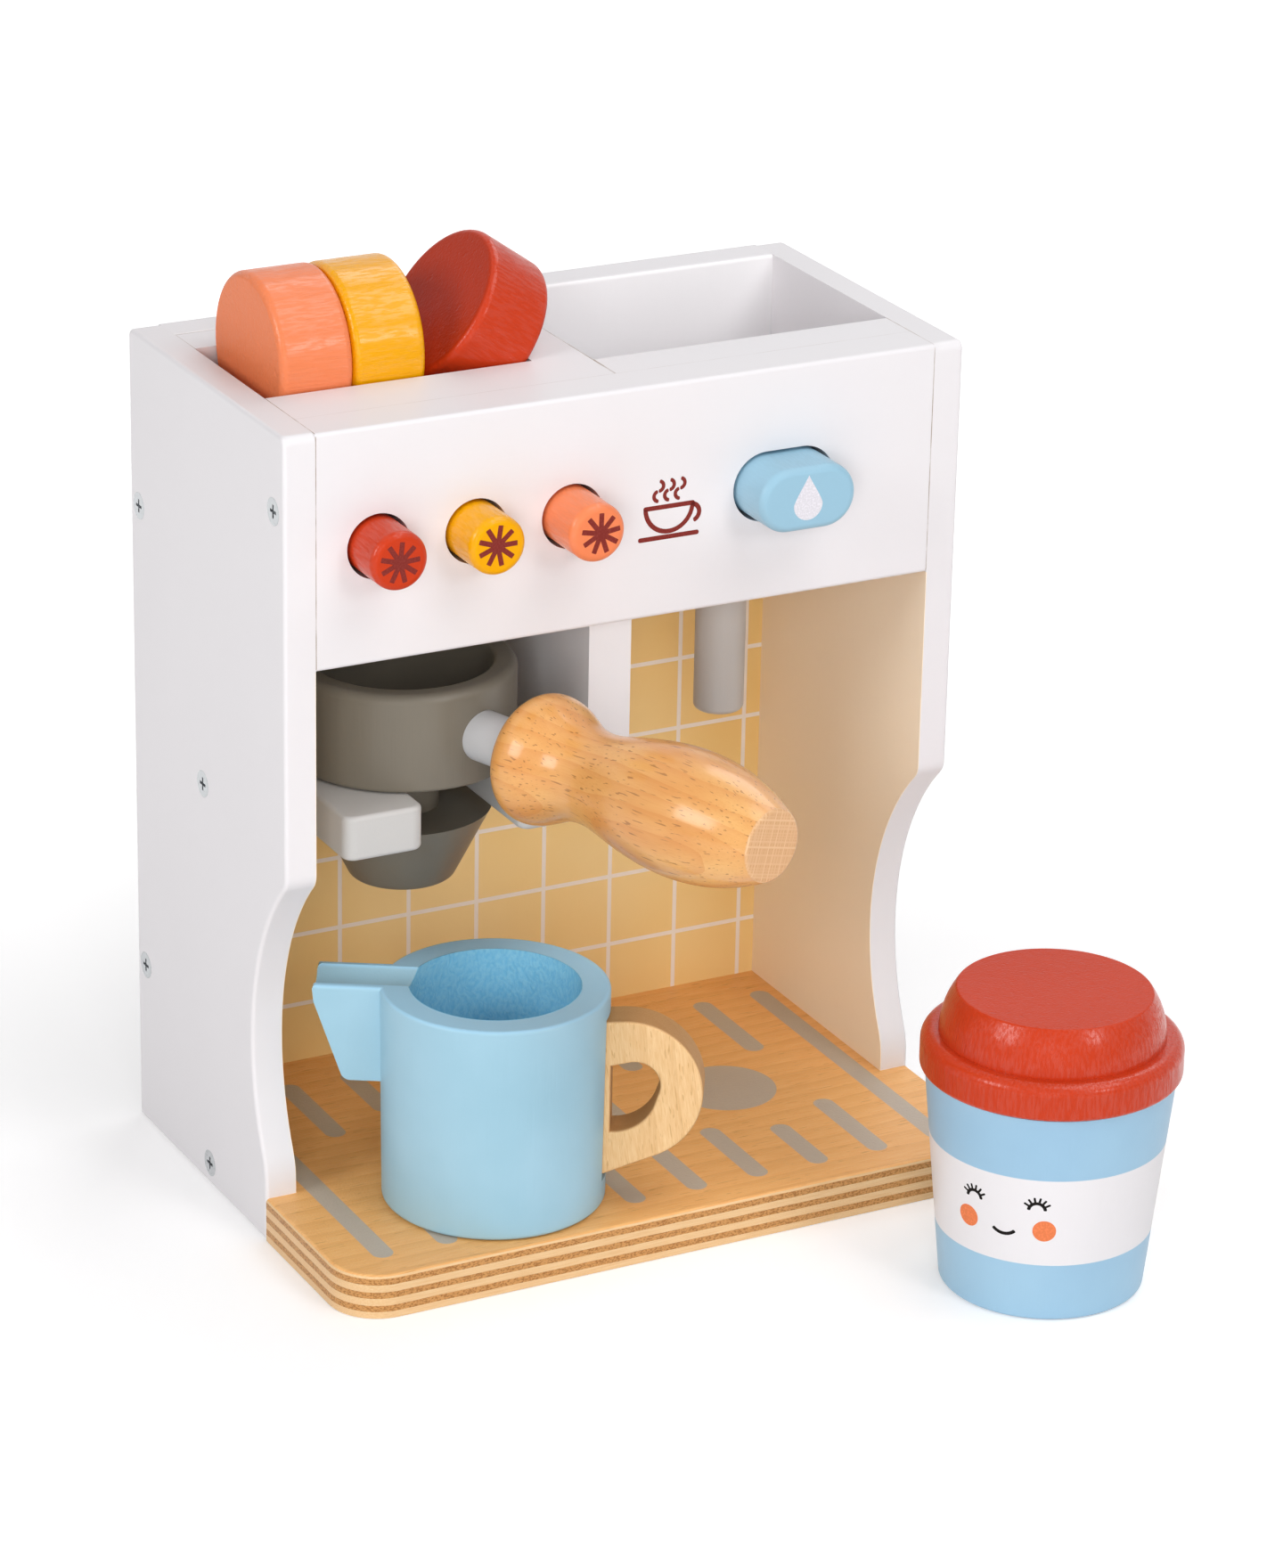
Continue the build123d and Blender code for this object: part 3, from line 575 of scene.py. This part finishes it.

# %% [markdown]
# ## Milk jug: a deeper blue inside
# The jug is painted light blue outside and a deeper blue inside, where a brush reaches instead
# of the spray and leaves its strokes. The top of its rim is painted a lighter, fuller blue, as
# painted light. The bore is everything nearer to the jug's axis than its radius. The jug's box
# doesn't tell where that axis is, because the spout is in it, so the axis is written down.

# %% Jug paint
jug_axis = (-45.3 * MM, -8.4 * MM)
bore_radius = 24.8 * MM
material, wiring, shader, place = start_finish("blue jug paint", 0.42)
surface = wiring.group(painted_surface, Vector=place, Dents=0.3)
outside = drifting(wiring, surface, paint("#9bc4d6"), paint("#a5ccde"))
centred = wiring.place(place, location=(-jug_axis[0], -jug_axis[1], 0))
x, y, z = wiring.split(centred)
in_bore = wiring.below(wiring.hypotenuse(x, y), bore_radius + 0.15 * MM, 0.1 * MM)
curl = wiring.math("MULTIPLY", wiring.noise(centred, 160, detail=2), 6 * MM)
swirled = wiring.add("VectorMath", {0: centred, 1: curl}, operation="ADD").outputs[0]
brushed = wiring.place(swirled, rotation=(0.7, 0.4, 0), scale=(1, 1, 0.6))
strokes = wiring.noise(brushed, 900, detail=3)
inside = wiring.mix(wiring.between(strokes, 0.35, 0.65), paint("#82ccee"), paint("#9adaf4"))
# The top of the rim is painted a lighter, fuller blue: painted light on the face that looks up.
rim_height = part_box("jug_body")[1].z
outside = wiring.mix(wiring.above(z, rim_height - 0.5 * MM, 0.3 * MM), outside, paint("#a7d6f0"))
wiring.plug(shader["Base Color"], wiring.mix(in_bore, outside, inside))
stroke_height, stroke_depth = wiring.math("MULTIPLY", strokes, in_bore), 5.0
relief = wiring.math("MULTIPLY_ADD", stroke_height, stroke_depth, surface["Height"])
add_bump(wiring, shader, relief, 0.06 * MM)
dress(material, "jug_body")

# %% [markdown]
# ## Back panel: white paint and a printed tile wall
# The panel is painted white all over. On its inner face, below the shelf, a tile wall is
# printed: warm yellow squares with thin pale joints. Two masks tell where the print is: the
# face that points to the front, and everything below the shelf's underside. The same face above
# the shelf, at the back of the open tray, is painted the brightest white, as painted light.

# %% Tile print
tile_pitch, tile_joint, tile_foot = 23.0 * MM, 1.35 * MM, 9.3 * MM
print_blur = 0.1 * MM


def joint_mask(wiring, value, first):
    """1 on the joints that lie tile_pitch apart, the first one at first."""
    shifted = wiring.math("SUBTRACT", value, first - tile_pitch / 2)
    steps = wiring.math("FLOORED_MODULO", shifted, tile_pitch)
    distance = wiring.math("ABSOLUTE", wiring.math("SUBTRACT", steps, tile_pitch / 2))
    return wiring.below(distance, tile_joint / 2, print_blur)


material, wiring, shader, place = start_finish("white paint with a tile print", 0.42)
x, y, z = wiring.split(place)
joints = wiring.math("MAXIMUM", joint_mask(wiring, x, 0.0), joint_mask(wiring, z, tile_foot))
drift = wiring.between(wiring.noise(place, 16, detail=3), 0.3, 0.7)
tile = wiring.mix(drift, paint("#fcd68c"), paint("#ffe1a2"))
tiled = wiring.mix(joints, tile, paint("#fcf4ec"))
shelf_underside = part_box("shelf")[0].z
facing = wiring.math("LESS_THAN", y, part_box("back_panel")[0].y + 0.5 * MM)
in_bay = wiring.math("MULTIPLY", wiring.math("LESS_THAN", z, shelf_underside), facing)
# Above the shelf the front face is painted a brighter white: painted light on the tray's back
# wall.
painted_light_in_tray = wiring.math("MULTIPLY", wiring.math("GREATER_THAN", z, shelf_underside), facing)
plain = wiring.mix(painted_light_in_tray, paint(white), paint("#fffdfe"))
wiring.plug(shader["Base Color"], wiring.mix(in_bay, plain, tiled))
surface = wiring.group(painted_surface, Vector=place, Dents=0.2)
add_bump(wiring, shader, surface["Height"], 0.03 * MM)
dress(material, "back_panel")

# %% [markdown]
# ## Base board: lacquered plywood with grey prints
# Seen from above the board is birch veneer with grey bars and discs. Its edge shows the plies:
# pale ones, cut along their grain, between darker ones that show their end grain as specks.
# The veneer's grain runs from side to side, and so do the pale plies.

# %% Plies and prints
ply, ply_wave, pale_share = 2.1 * MM, 0.3 * MM, 1.07
ink_cover = 0.93
bar_step, bar_radius = 10.1 * MM, 3.2 * MM
bar_front, bar_back = -29.8 * MM, 79.3 * MM
disc_x, disc_y, disc_radius, disc_clearance = 48.85 * MM, 24.4 * MM, 15.6 * MM, 29.0 * MM


def base_print_mask(wiring, x, y):
    """Bars along Y at odd steps from the middle, with a gap round each disc."""
    mirrored = wiring.math("ABSOLUTE", x)
    bars = []
    for odd in (1, 3, 5, 7, 9):
        bar_x = odd * bar_step
        away = abs(bar_x - disc_x)
        if away < disc_clearance - bar_radius:
            gap = (disc_clearance ** 2 - away ** 2) ** 0.5 + bar_radius
            bars += [(bar_x, bar_front, disc_y - gap), (bar_x, disc_y + gap, bar_back)]
        else:
            bars.append((bar_x, bar_front, bar_back))
    marks = [(bar_x, start, end, bar_radius) for bar_x, start, end in bars]
    marks.append((disc_x, disc_y, disc_y, disc_radius))
    mask = 0.0
    for mark_x, start, end, radius in marks:
        mark = wiring.group(printed_bar, Across=mirrored, Along=y, Place=mark_x, Start=start,
                            End=end, Radius=radius)
        mask = wiring.math("MAXIMUM", mask, mark["Mask"])
    print("printed marks on each half of the base:", len(marks))
    return mask


material, wiring, shader, place = start_finish("lacquered birch plywood", 0.38)
x, y, z = wiring.split(place)
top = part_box("base_board")[1].z
in_log = wiring.place(place, (0, 60 * MM, 20 * MM), ALONG_X)
figure = wiring.group(wood_figure, Vector=in_log, Ring_Width=7 * MM, Pore_Scale=1900.0,
                      Pore_Share=0.35)
grain = wiring.between(figure["Fibres"], 0.3, 0.7)
veneer = wiring.mix(grain, paint("#f4b26a"), paint("#fcc682"))
veneer = tinted(wiring, veneer, figure["Rings"], 0.35, "#e09c55")
veneer = tinted(wiring, veneer, figure["Pores"], 0.45, "#bf8444")
ink = wiring.math("MULTIPLY", base_print_mask(wiring, x, y), ink_cover)
printed_veneer = wiring.mix(ink, veneer, paint("#bdb4a8"))

wavy = wiring.math("MULTIPLY_ADD", wiring.noise(place, 60), ply_wave, z)
pair = wiring.math("FLOORED_MODULO", wiring.math("DIVIDE", wavy, ply), 2.0)
dark_ply = wiring.math("GREATER_THAN", pair, pale_share)
speckled = wiring.noise(wiring.place(place, scale=(1, 1, 1.6)), 1500, detail=2)
specks = wiring.between(speckled, 0.45, 0.62)
end_grain = wiring.mix(specks, paint("#d29a5c"), paint("#a8713a"))
long_grain = wiring.mix(grain, paint("#e8bd88"), paint("#f2cf9f"))
edge = wiring.mix(dark_ply, long_grain, end_grain)
on_top = wiring.math("GREATER_THAN", z, top - 0.4 * MM)
wiring.plug(shader["Base Color"], wiring.mix(on_top, edge, printed_veneer))
add_bump(wiring, shader, wiring.math("SUBTRACT", figure["Fibres"], specks), 0.05 * MM)
dress(material, "base_board")

# %% [markdown]
# ## Turned and bent wood
# The portafilter's handle is turned from a porous hardwood and has a thick glossy lacquer, but
# its sawn end is dull. The jug's handle is sawn from plain beech and only sanded, and its edges
# are browner than its flat faces, partly from their end grain and partly as painted shade. Both
# use the wood figure, with a Mapping node that brings its grain in line with the piece.

# %% Lacquered handle
turn = radians(18.9)
axis_place = (-51.3 * MM, 42.0 * MM, 148.5 * MM)
handle_end = 144.6 * MM


def grain_along_handle(wiring, place):
    """The coordinates, moved to the cup's axis and turned so that Z runs down the handle."""
    moved = wiring.place(place, location=[-c for c in axis_place])
    unturned = wiring.place(moved, rotation=(0, 0, -turn))
    return wiring.place(unturned, rotation=(radians(-90), 0, 0))


lacquer, hatch_depth = 0.8, 3.0
material, wiring, shader, place = start_finish("lacquered hardwood", 0.34, 0.2, lacquer, 0.16)
along = grain_along_handle(wiring, place)
in_log = wiring.place(along, location=(28 * MM, 12 * MM, 0))
figure = wiring.group(wood_figure, Vector=in_log, Ring_Width=5.2 * MM, Pore_Scale=1900.0,
                      Pore_Share=0.5)
clouds = wiring.noise(wiring.place(along, scale=(1, 1, 0.3)), 75, detail=3)
wood = wiring.mix(wiring.between(clouds, 0.35, 0.65), paint("#dd9850"), paint("#eab26b"))
wood = tinted(wiring, wood, figure["Rings"], 0.4, "#d2833a")
wood = wiring.mix(wiring.between(figure["Fibres"], 0.5, 0.75, 0, 0.3), wood, paint("#c98139"))
wood = tinted(wiring, wood, figure["Pores"], 0.65, "#99602c")

_, _, down = wiring.split(along)
sawn = wiring.above(down, handle_end - 0.55 * MM, 0.15 * MM)
x, y, _ = wiring.split(wiring.place(along, rotation=(0, 0, 0.3)))
cuts = wiring.noise(wiring.add("CombineXYZ", {"X": x}).outputs[0], 1700, detail=0)
cross_cuts = wiring.noise(wiring.add("CombineXYZ", {"Y": y}).outputs[0], 1300, detail=0)
hatch = wiring.math("MAXIMUM", cuts, cross_cuts)
end_grain = wiring.mix(wiring.between(hatch, 0.4, 0.75), paint("#d9a473"), paint("#eec497"))
wiring.plug(shader["Base Color"], wiring.mix(sawn, wood, end_grain))
wiring.plug(shader["Coat Weight"], wiring.between(sawn, 0, 1, lacquer, 0.05))
smooth_relief = wiring.math("SUBTRACT", figure["Fibres"], figure["Pores"])
hatched = wiring.math("MULTIPLY", sawn, hatch)
relief = wiring.math("MULTIPLY_ADD", hatched, hatch_depth, smooth_relief)
add_bump(wiring, shader, relief, 0.04 * MM)
dress(material, "filter_handle")

# %% Beech handle
ear_across = (-0.5075, -0.8616, 0.0)
ear_half = 5.75 * MM
material, wiring, shader, place = start_finish("sanded beech", 0.55)
in_log = wiring.place(place, location=(30 * MM, 50 * MM, 0), rotation=(0, radians(8), 0))
figure = wiring.group(wood_figure, Vector=in_log, Ring_Width=6 * MM, Pore_Scale=2300.0,
                      Pore_Share=0.55)
grain = wiring.between(figure["Fibres"], 0.3, 0.7)
wood = wiring.mix(grain, paint("#e6b981"), paint("#f3cf9c"))
wood = tinted(wiring, wood, figure["Rings"], 0.3, "#d3a36b")
wood = tinted(wiring, wood, figure["Pores"], 0.4, "#b8803f")
centred = wiring.place(place, location=(-jug_axis[0], -jug_axis[1], 0))
product = wiring.add("VectorMath", {0: centred, 1: ear_across}, operation="DOT_PRODUCT")
across = wiring.math("ABSOLUTE", product.outputs["Value"])
# The edges are browner: partly the end grain, partly painted shade on the edges and in the hole.
on_edge = wiring.below(across, ear_half - 0.3 * MM, 0.2 * MM)
wood = tinted(wiring, wood, on_edge, 0.75, "#b07f4b")
wiring.plug(shader["Base Color"], wood)
add_bump(wiring, shader, figure["Fibres"], 0.08 * MM)
dress(material, "jug_handle")

# %% [markdown]
# ## Metal
# Screws and springs are zinc plated steel. The plating is bright but not polished, so its
# roughness changes in small patches, and faint scratches from the driver cross it.

# %% Zinc plated steel
steel, wiring, shader, place = start_finish("zinc plated steel", 0.35)
shader["Metallic"].default_value = 1.0
patches = wiring.noise(place, 900, detail=3)
wiring.plug(shader["Base Color"], wiring.mix(patches, paint("#a9acae"), paint("#d5d8da")))
wiring.plug(shader["Roughness"], wiring.between(patches, 0.3, 0.7, 0.25, 0.5))
scratches = wiring.noise(wiring.place(place, scale=(1, 1, 6)), 1500)
add_bump(wiring, shader, scratches, 0.03 * MM)
dress(steel, "panel_screws")

# %% [markdown]
# ### Springs
# A pressed button shortens the spring behind it. Each spring's solid is copied into a piece of
# its own, in zinc plated steel, that is attached to the cabinet, and the frame's spring is hidden.

# %% Coil springs
for colour in ("red", "yellow", "peach", "water"):
    spring = f"{colour}_button_spring"
    low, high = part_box(spring)
    coil = bpy.data.objects.new(f"{colour}_button_coil", nodes[spring].data.copy())
    coil.data.materials.clear()
    coil.data.materials.append(steel)
    bpy.context.scene.collection.objects.link(coil)
    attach(coil, "cabinet")
    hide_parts(spring)
    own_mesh(coil)
    print(coil.name, "length in mm:", round((high.y - low.y) / MM, 2))

# %% [markdown]
# ## Takeaway cup: blue paint with a white band
# The band is masked off when the cup is sprayed, so its edges are sharp and level. It is a
# mask on height, and the paint above and below it is a light blue.

# %% Banded cup
band_low, band_high = 18.3 * MM, 46.1 * MM
material, wiring, shader, place = start_finish("blue paint with a white band", 0.38)
surface = wiring.group(painted_surface, Vector=place, Dents=0.5)
_, _, z = wiring.split(place)
over, under = wiring.above(z, band_low, print_blur), wiring.below(z, band_high, print_blur)
blue_paint = drifting(wiring, surface, paint("#9ac0da"), paint("#a2c8e0"))
band = wiring.math("MULTIPLY", over, under)
wiring.plug(shader["Base Color"], wiring.mix(band, blue_paint, paint("#e9e6e8")))
add_bump(wiring, shader, surface["Height"], 0.05 * MM)
dress(material, "takeaway_cup")

# %% [markdown]
# ## Printed marks as thin pieces
# The round buttons carry an asterisk, the wide one a water drop, the cup a sleepy face and the
# front panel a small steaming cup. They could be masks in the paint, but outlines as fine as an
# eyelash blur when a surface is baked. So each mark is drawn flat with bmesh operators, given
# the thickness of ink, and then placed on the surface that carries it.

# %% Ink
ink_depth, ink_sink = 0.05 * MM, 0.02 * MM


def ink_finish(name, code):
    """Screen printed ink: one colour that covers almost evenly, with a fine mottle."""
    material, wiring, shader, place = start_finish(name, 0.55, specular=0.08)
    mottle = wiring.noise(place, 1800, detail=2)
    full = paint(code)
    thin = [min(1.0, part * 1.25 + 0.01) for part in full[:3]] + [1.0]
    wiring.plug(shader["Base Color"], wiring.mix(wiring.between(mottle, 0.45, 0.8), full, thin))
    add_bump(wiring, shader, mottle, 0.02 * MM)
    return material


brown_ink = ink_finish("brown ink", "#80302a")
white_ink = ink_finish("white ink", "#dfdde4")
black_ink = ink_finish("black ink", "#15110f")
orange_ink = ink_finish("orange ink", "#e67f50")


def thicken(bm):
    """The flat drawing becomes a closed sheet of ink that starts just below the paint."""
    bmesh.ops.translate(bm, verts=bm.verts, vec=(0, 0, -ink_sink))
    grown = bmesh.ops.extrude_face_region(bm, geom=bm.faces[:], use_keep_orig=True)
    tops = [v for v in grown["geom"] if isinstance(v, bmesh.types.BMVert)]
    bmesh.ops.translate(bm, verts=tops, vec=(0, 0, ink_depth))
    bmesh.ops.recalc_face_normals(bm, faces=bm.faces)


def round_corners(bm, corners, offset, segments):
    """These corners of a flat drawing become arcs."""
    bmesh.ops.bevel(bm, geom=corners, offset=offset, segments=segments, profile=0.5,
                    affect="VERTICES", material=-1)


def ink_piece(name, bm, material, body):
    """The finished drawing as a piece that moves with that body."""
    mesh = bpy.data.meshes.new(name)
    bm.to_mesh(mesh)
    bm.free()
    mesh.materials.append(material)
    piece = bpy.data.objects.new(name, mesh)
    bpy.context.scene.collection.objects.link(piece)
    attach(piece, body)
    print(name, "faces:", len(mesh.polygons), "on", body)


def face_front(bm, x, y, z):
    """A drawing in the XY plane stands up, faces the front, and moves to that place."""
    stand = Matrix.Translation((x, y, z)) @ Matrix.Rotation(pi / 2, 4, "X")
    bmesh.ops.transform(bm, matrix=stand, verts=bm.verts)


# %% [markdown]
# ### Asterisks
# Nine arms of one width meet in the middle. A polygon with nine sides, each as long as an arm is
# wide, is just that middle: every side is extruded outwards and its tips are rounded a little.

# %% Asterisks
arm_count, arm_width, arm_reach = 9, 1.5 * MM, 6.0 * MM


def asterisk(colour, first_arm, aside, above):
    """An asterisk on the end of a round button; first_arm is the angle of one arm in degrees, and
    aside and above say how far from the button's middle it is printed."""
    low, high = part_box(f"{colour}_button")
    bm = bmesh.new()
    core_radius = arm_width / 2 / sin(pi / arm_count)
    bmesh.ops.create_circle(bm, cap_ends=True, segments=arm_count, radius=core_radius)
    tips = []
    for side in bm.edges[:]:
        middle = (side.verts[0].co + side.verts[1].co) / 2
        outward = middle.normalized() * (arm_reach - middle.length)
        arm = bmesh.ops.extrude_edge_only(bm, edges=[side])
        new_tips = [v for v in arm["geom"] if isinstance(v, bmesh.types.BMVert)]
        bmesh.ops.translate(bm, verts=new_tips, vec=outward)
        tips += new_tips
    round_corners(bm, tips, 0.2 * MM, segments=3)
    start = middle.to_2d().angle_signed(Vector((1, 0)))
    turn_to = Matrix.Rotation(radians(first_arm) - start, 3, "Z")
    bmesh.ops.rotate(bm, cent=(0, 0, 0), matrix=turn_to, verts=bm.verts)
    thicken(bm)
    centre = (low + high) / 2
    face_front(bm, centre.x + aside * MM, low.y, centre.z + above * MM)
    ink_piece(f"{colour}_button_asterisk", bm, brown_ink, f"{colour}_button")


asterisk("red", 84.0, -0.2, -0.1)
asterisk("yellow", 81.5, -0.4, 0.4)
asterisk("peach", 88.6, 0.6, 0.1)

# %% [markdown]
# ### Water drop
# A drop is a circle whose upper half is drawn up into a point: the higher a point lies on the
# circle, the further it rises and the closer it moves to the middle.

# %% Water drop
drop_radius, drop_bottom, drop_tip = 4.65 * MM, 208.8 * MM, 222.2 * MM
bm = bmesh.new()
bmesh.ops.create_circle(bm, cap_ends=True, segments=48, radius=drop_radius)
rise = drop_tip - drop_bottom - drop_radius
for vertex in bm.verts:
    if vertex.co.y > 0:
        share, height = abs(vertex.co.x) / drop_radius, vertex.co.y / drop_radius
        vertex.co.x *= share ** 1.3
        vertex.co.y = rise * height ** 1.6
thicken(bm)
low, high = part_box("water_button")
face_front(bm, (low.x + high.x) / 2 - 0.3 * MM, low.y, drop_bottom + drop_radius)
ink_piece("water_drop", bm, white_ink, "water_button")

# %% [markdown]
# ### A small steaming cup
# On the front panel, between the round buttons and the wide one, a line drawing says what the
# machine makes. Its lines are arcs, each one short edge spun round a centre, and straight bars.

# %% Arcs and bars


def arc(bm, centre, radius, start, sweep, width, steps=24):
    """A bent line: an edge across its width is spun round the centre; angles are in degrees."""
    across = Vector((cos(radians(start)), sin(radians(start)), 0))
    middle = Vector((*centre, 0))
    ends = [bm.verts.new(middle + across * (radius + side * width / 2)) for side in (-1, 1)]
    line = bm.edges.new(ends)
    spun = bmesh.ops.spin(bm, geom=[*ends, line], cent=(*centre, 0), axis=(0, 0, 1),
                          angle=radians(sweep), steps=steps)
    last = [v for v in spun["geom_last"] if isinstance(v, bmesh.types.BMVert)]
    round_corners(bm, ends + last, 0.42 * width, segments=4)


def bar(bm, start, end, width):
    """A straight line with round ends, from a square that is stretched, turned and moved."""
    start, end = Vector((*start, 0)), Vector((*end, 0))
    along = end - start
    made = bmesh.ops.create_grid(bm, x_segments=1, y_segments=1, size=0.5)["verts"]
    bmesh.ops.scale(bm, vec=(along.length + width, width, 1), verts=made)
    turned = along.to_track_quat("X", "Z").to_matrix()
    bmesh.ops.rotate(bm, cent=(0, 0, 0), verts=made, matrix=turned)
    bmesh.ops.translate(bm, vec=(start + end) / 2, verts=made)
    round_corners(bm, made, 0.45 * width, segments=4)


# %% Steaming cup
line_width = 1.4 * MM
sign_x, sign_z = 12.0 * MM, 213.5 * MM
bowl, steam = 7.5 * MM, 1.5 * MM
saucer_x, saucer_y = bowl + 1.5 * MM, -bowl - 1.6 * MM
steam_step, steam_foot = 3.4 * MM, 3.4 * MM
bm = bmesh.new()
arc(bm, (0, 0), bowl, 180, 180, line_width)
bar(bm, (-bowl, 0), (bowl, 0), line_width)
arc(bm, (bowl - 0.4 * MM, -2.9 * MM), 2.6 * MM, -72, 160, line_width, steps=16)
bar(bm, (-saucer_x, saucer_y), (saucer_x, saucer_y), line_width)
for steam_x in (-steam_step, 0, steam_step):
    arc(bm, (steam_x, steam_foot), steam, -90, -170, line_width * 0.8, steps=12)
    arc(bm, (steam_x, steam_foot + 2 * steam), steam, -90, 170, line_width * 0.8, steps=12)
thicken(bm)
face_front(bm, sign_x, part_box("front_panel")[0].y, sign_z)
ink_piece("steaming_cup_print", bm, brown_ink, "cabinet")

# %% [markdown]
# ### The cup's sleepy face
# Two closed eyes with lashes, two round cheeks and a smile lie on a cone. They are drawn flat,
# with X along the cone's girth and Y up, and rolled on: X becomes an angle, Y a height, and the
# ink's thickness is added to the cone's radius at that height.

# %% Rolling a drawing onto the cup
low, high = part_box("takeaway_cup")
cup_axis = (low + high) / 2
cup_foot_radius, cup_rim_radius = 29.4 * MM, 35.9 * MM
cup_height = high.z - low.z
face_angle, face_height = radians(-52.4), 30.0 * MM


def roll_on(bm):
    """Every point of the flat drawing moves to its place on the cone."""
    flare = (cup_rim_radius - cup_foot_radius) / cup_height
    middle_radius = cup_foot_radius + flare * face_height
    for vertex in bm.verts:
        angle = face_angle + vertex.co.x / middle_radius
        height = face_height + vertex.co.y
        radius = cup_foot_radius + flare * height + vertex.co.z
        vertex.co = (cup_axis.x + radius * sin(angle), cup_axis.y - radius * cos(angle), height)


def disc(bm, centre, radius, rings=4):
    """A round patch in rings, so that it can bend: a row of points is spun all the way round."""
    row = [bm.verts.new((centre[0] + radius * i / rings, centre[1], 0)) for i in range(rings + 1)]
    edges = [bm.edges.new(pair) for pair in zip(row, row[1:])]
    bmesh.ops.spin(bm, geom=row + edges, cent=(*centre, 0), axis=(0, 0, 1), angle=tau, steps=32,
                   use_merge=True)


# %% Eyes, cheeks and smile
eye_x, eye_y, eye_radius, eye_line = 9.4 * MM, 6.3 * MM, 2.3 * MM, 0.95 * MM
lash_reach, lash_line = 3.95 * MM, 0.62 * MM
cheek_x, cheek_y, cheek_radius = 11.7 * MM, -0.35 * MM, 3.35 * MM
smile_y, smile_radius, smile_line = 1.85 * MM, 4.5 * MM, 1.05 * MM
for side, label in ((-1, "left"), (1, "right")):
    bm = bmesh.new()
    arc(bm, (side * eye_x, eye_y), eye_radius, 0, 180, eye_line)
    for angle in range(29, 160, 24):
        outward = Vector((cos(radians(angle)), sin(radians(angle)))) * side
        centre = Vector((side * eye_x, eye_y))
        outward.y = abs(outward.y)
        bar(bm, centre + outward * eye_radius, centre + outward * lash_reach, lash_line)
    thicken(bm)
    roll_on(bm)
    ink_piece(f"cup_{label}_eye", bm, black_ink, "takeaway_cup")

    bm = bmesh.new()
    disc(bm, (side * cheek_x, cheek_y), cheek_radius)
    bmesh.ops.remove_doubles(bm, verts=bm.verts, dist=0.001 * MM)
    thicken(bm)
    roll_on(bm)
    ink_piece(f"cup_{label}_cheek", bm, orange_ink, "takeaway_cup")

bm = bmesh.new()
arc(bm, (0, smile_y), smile_radius, 223, 94, smile_line)
thicken(bm)
roll_on(bm)
ink_piece("cup_smile", bm, black_ink, "takeaway_cup")
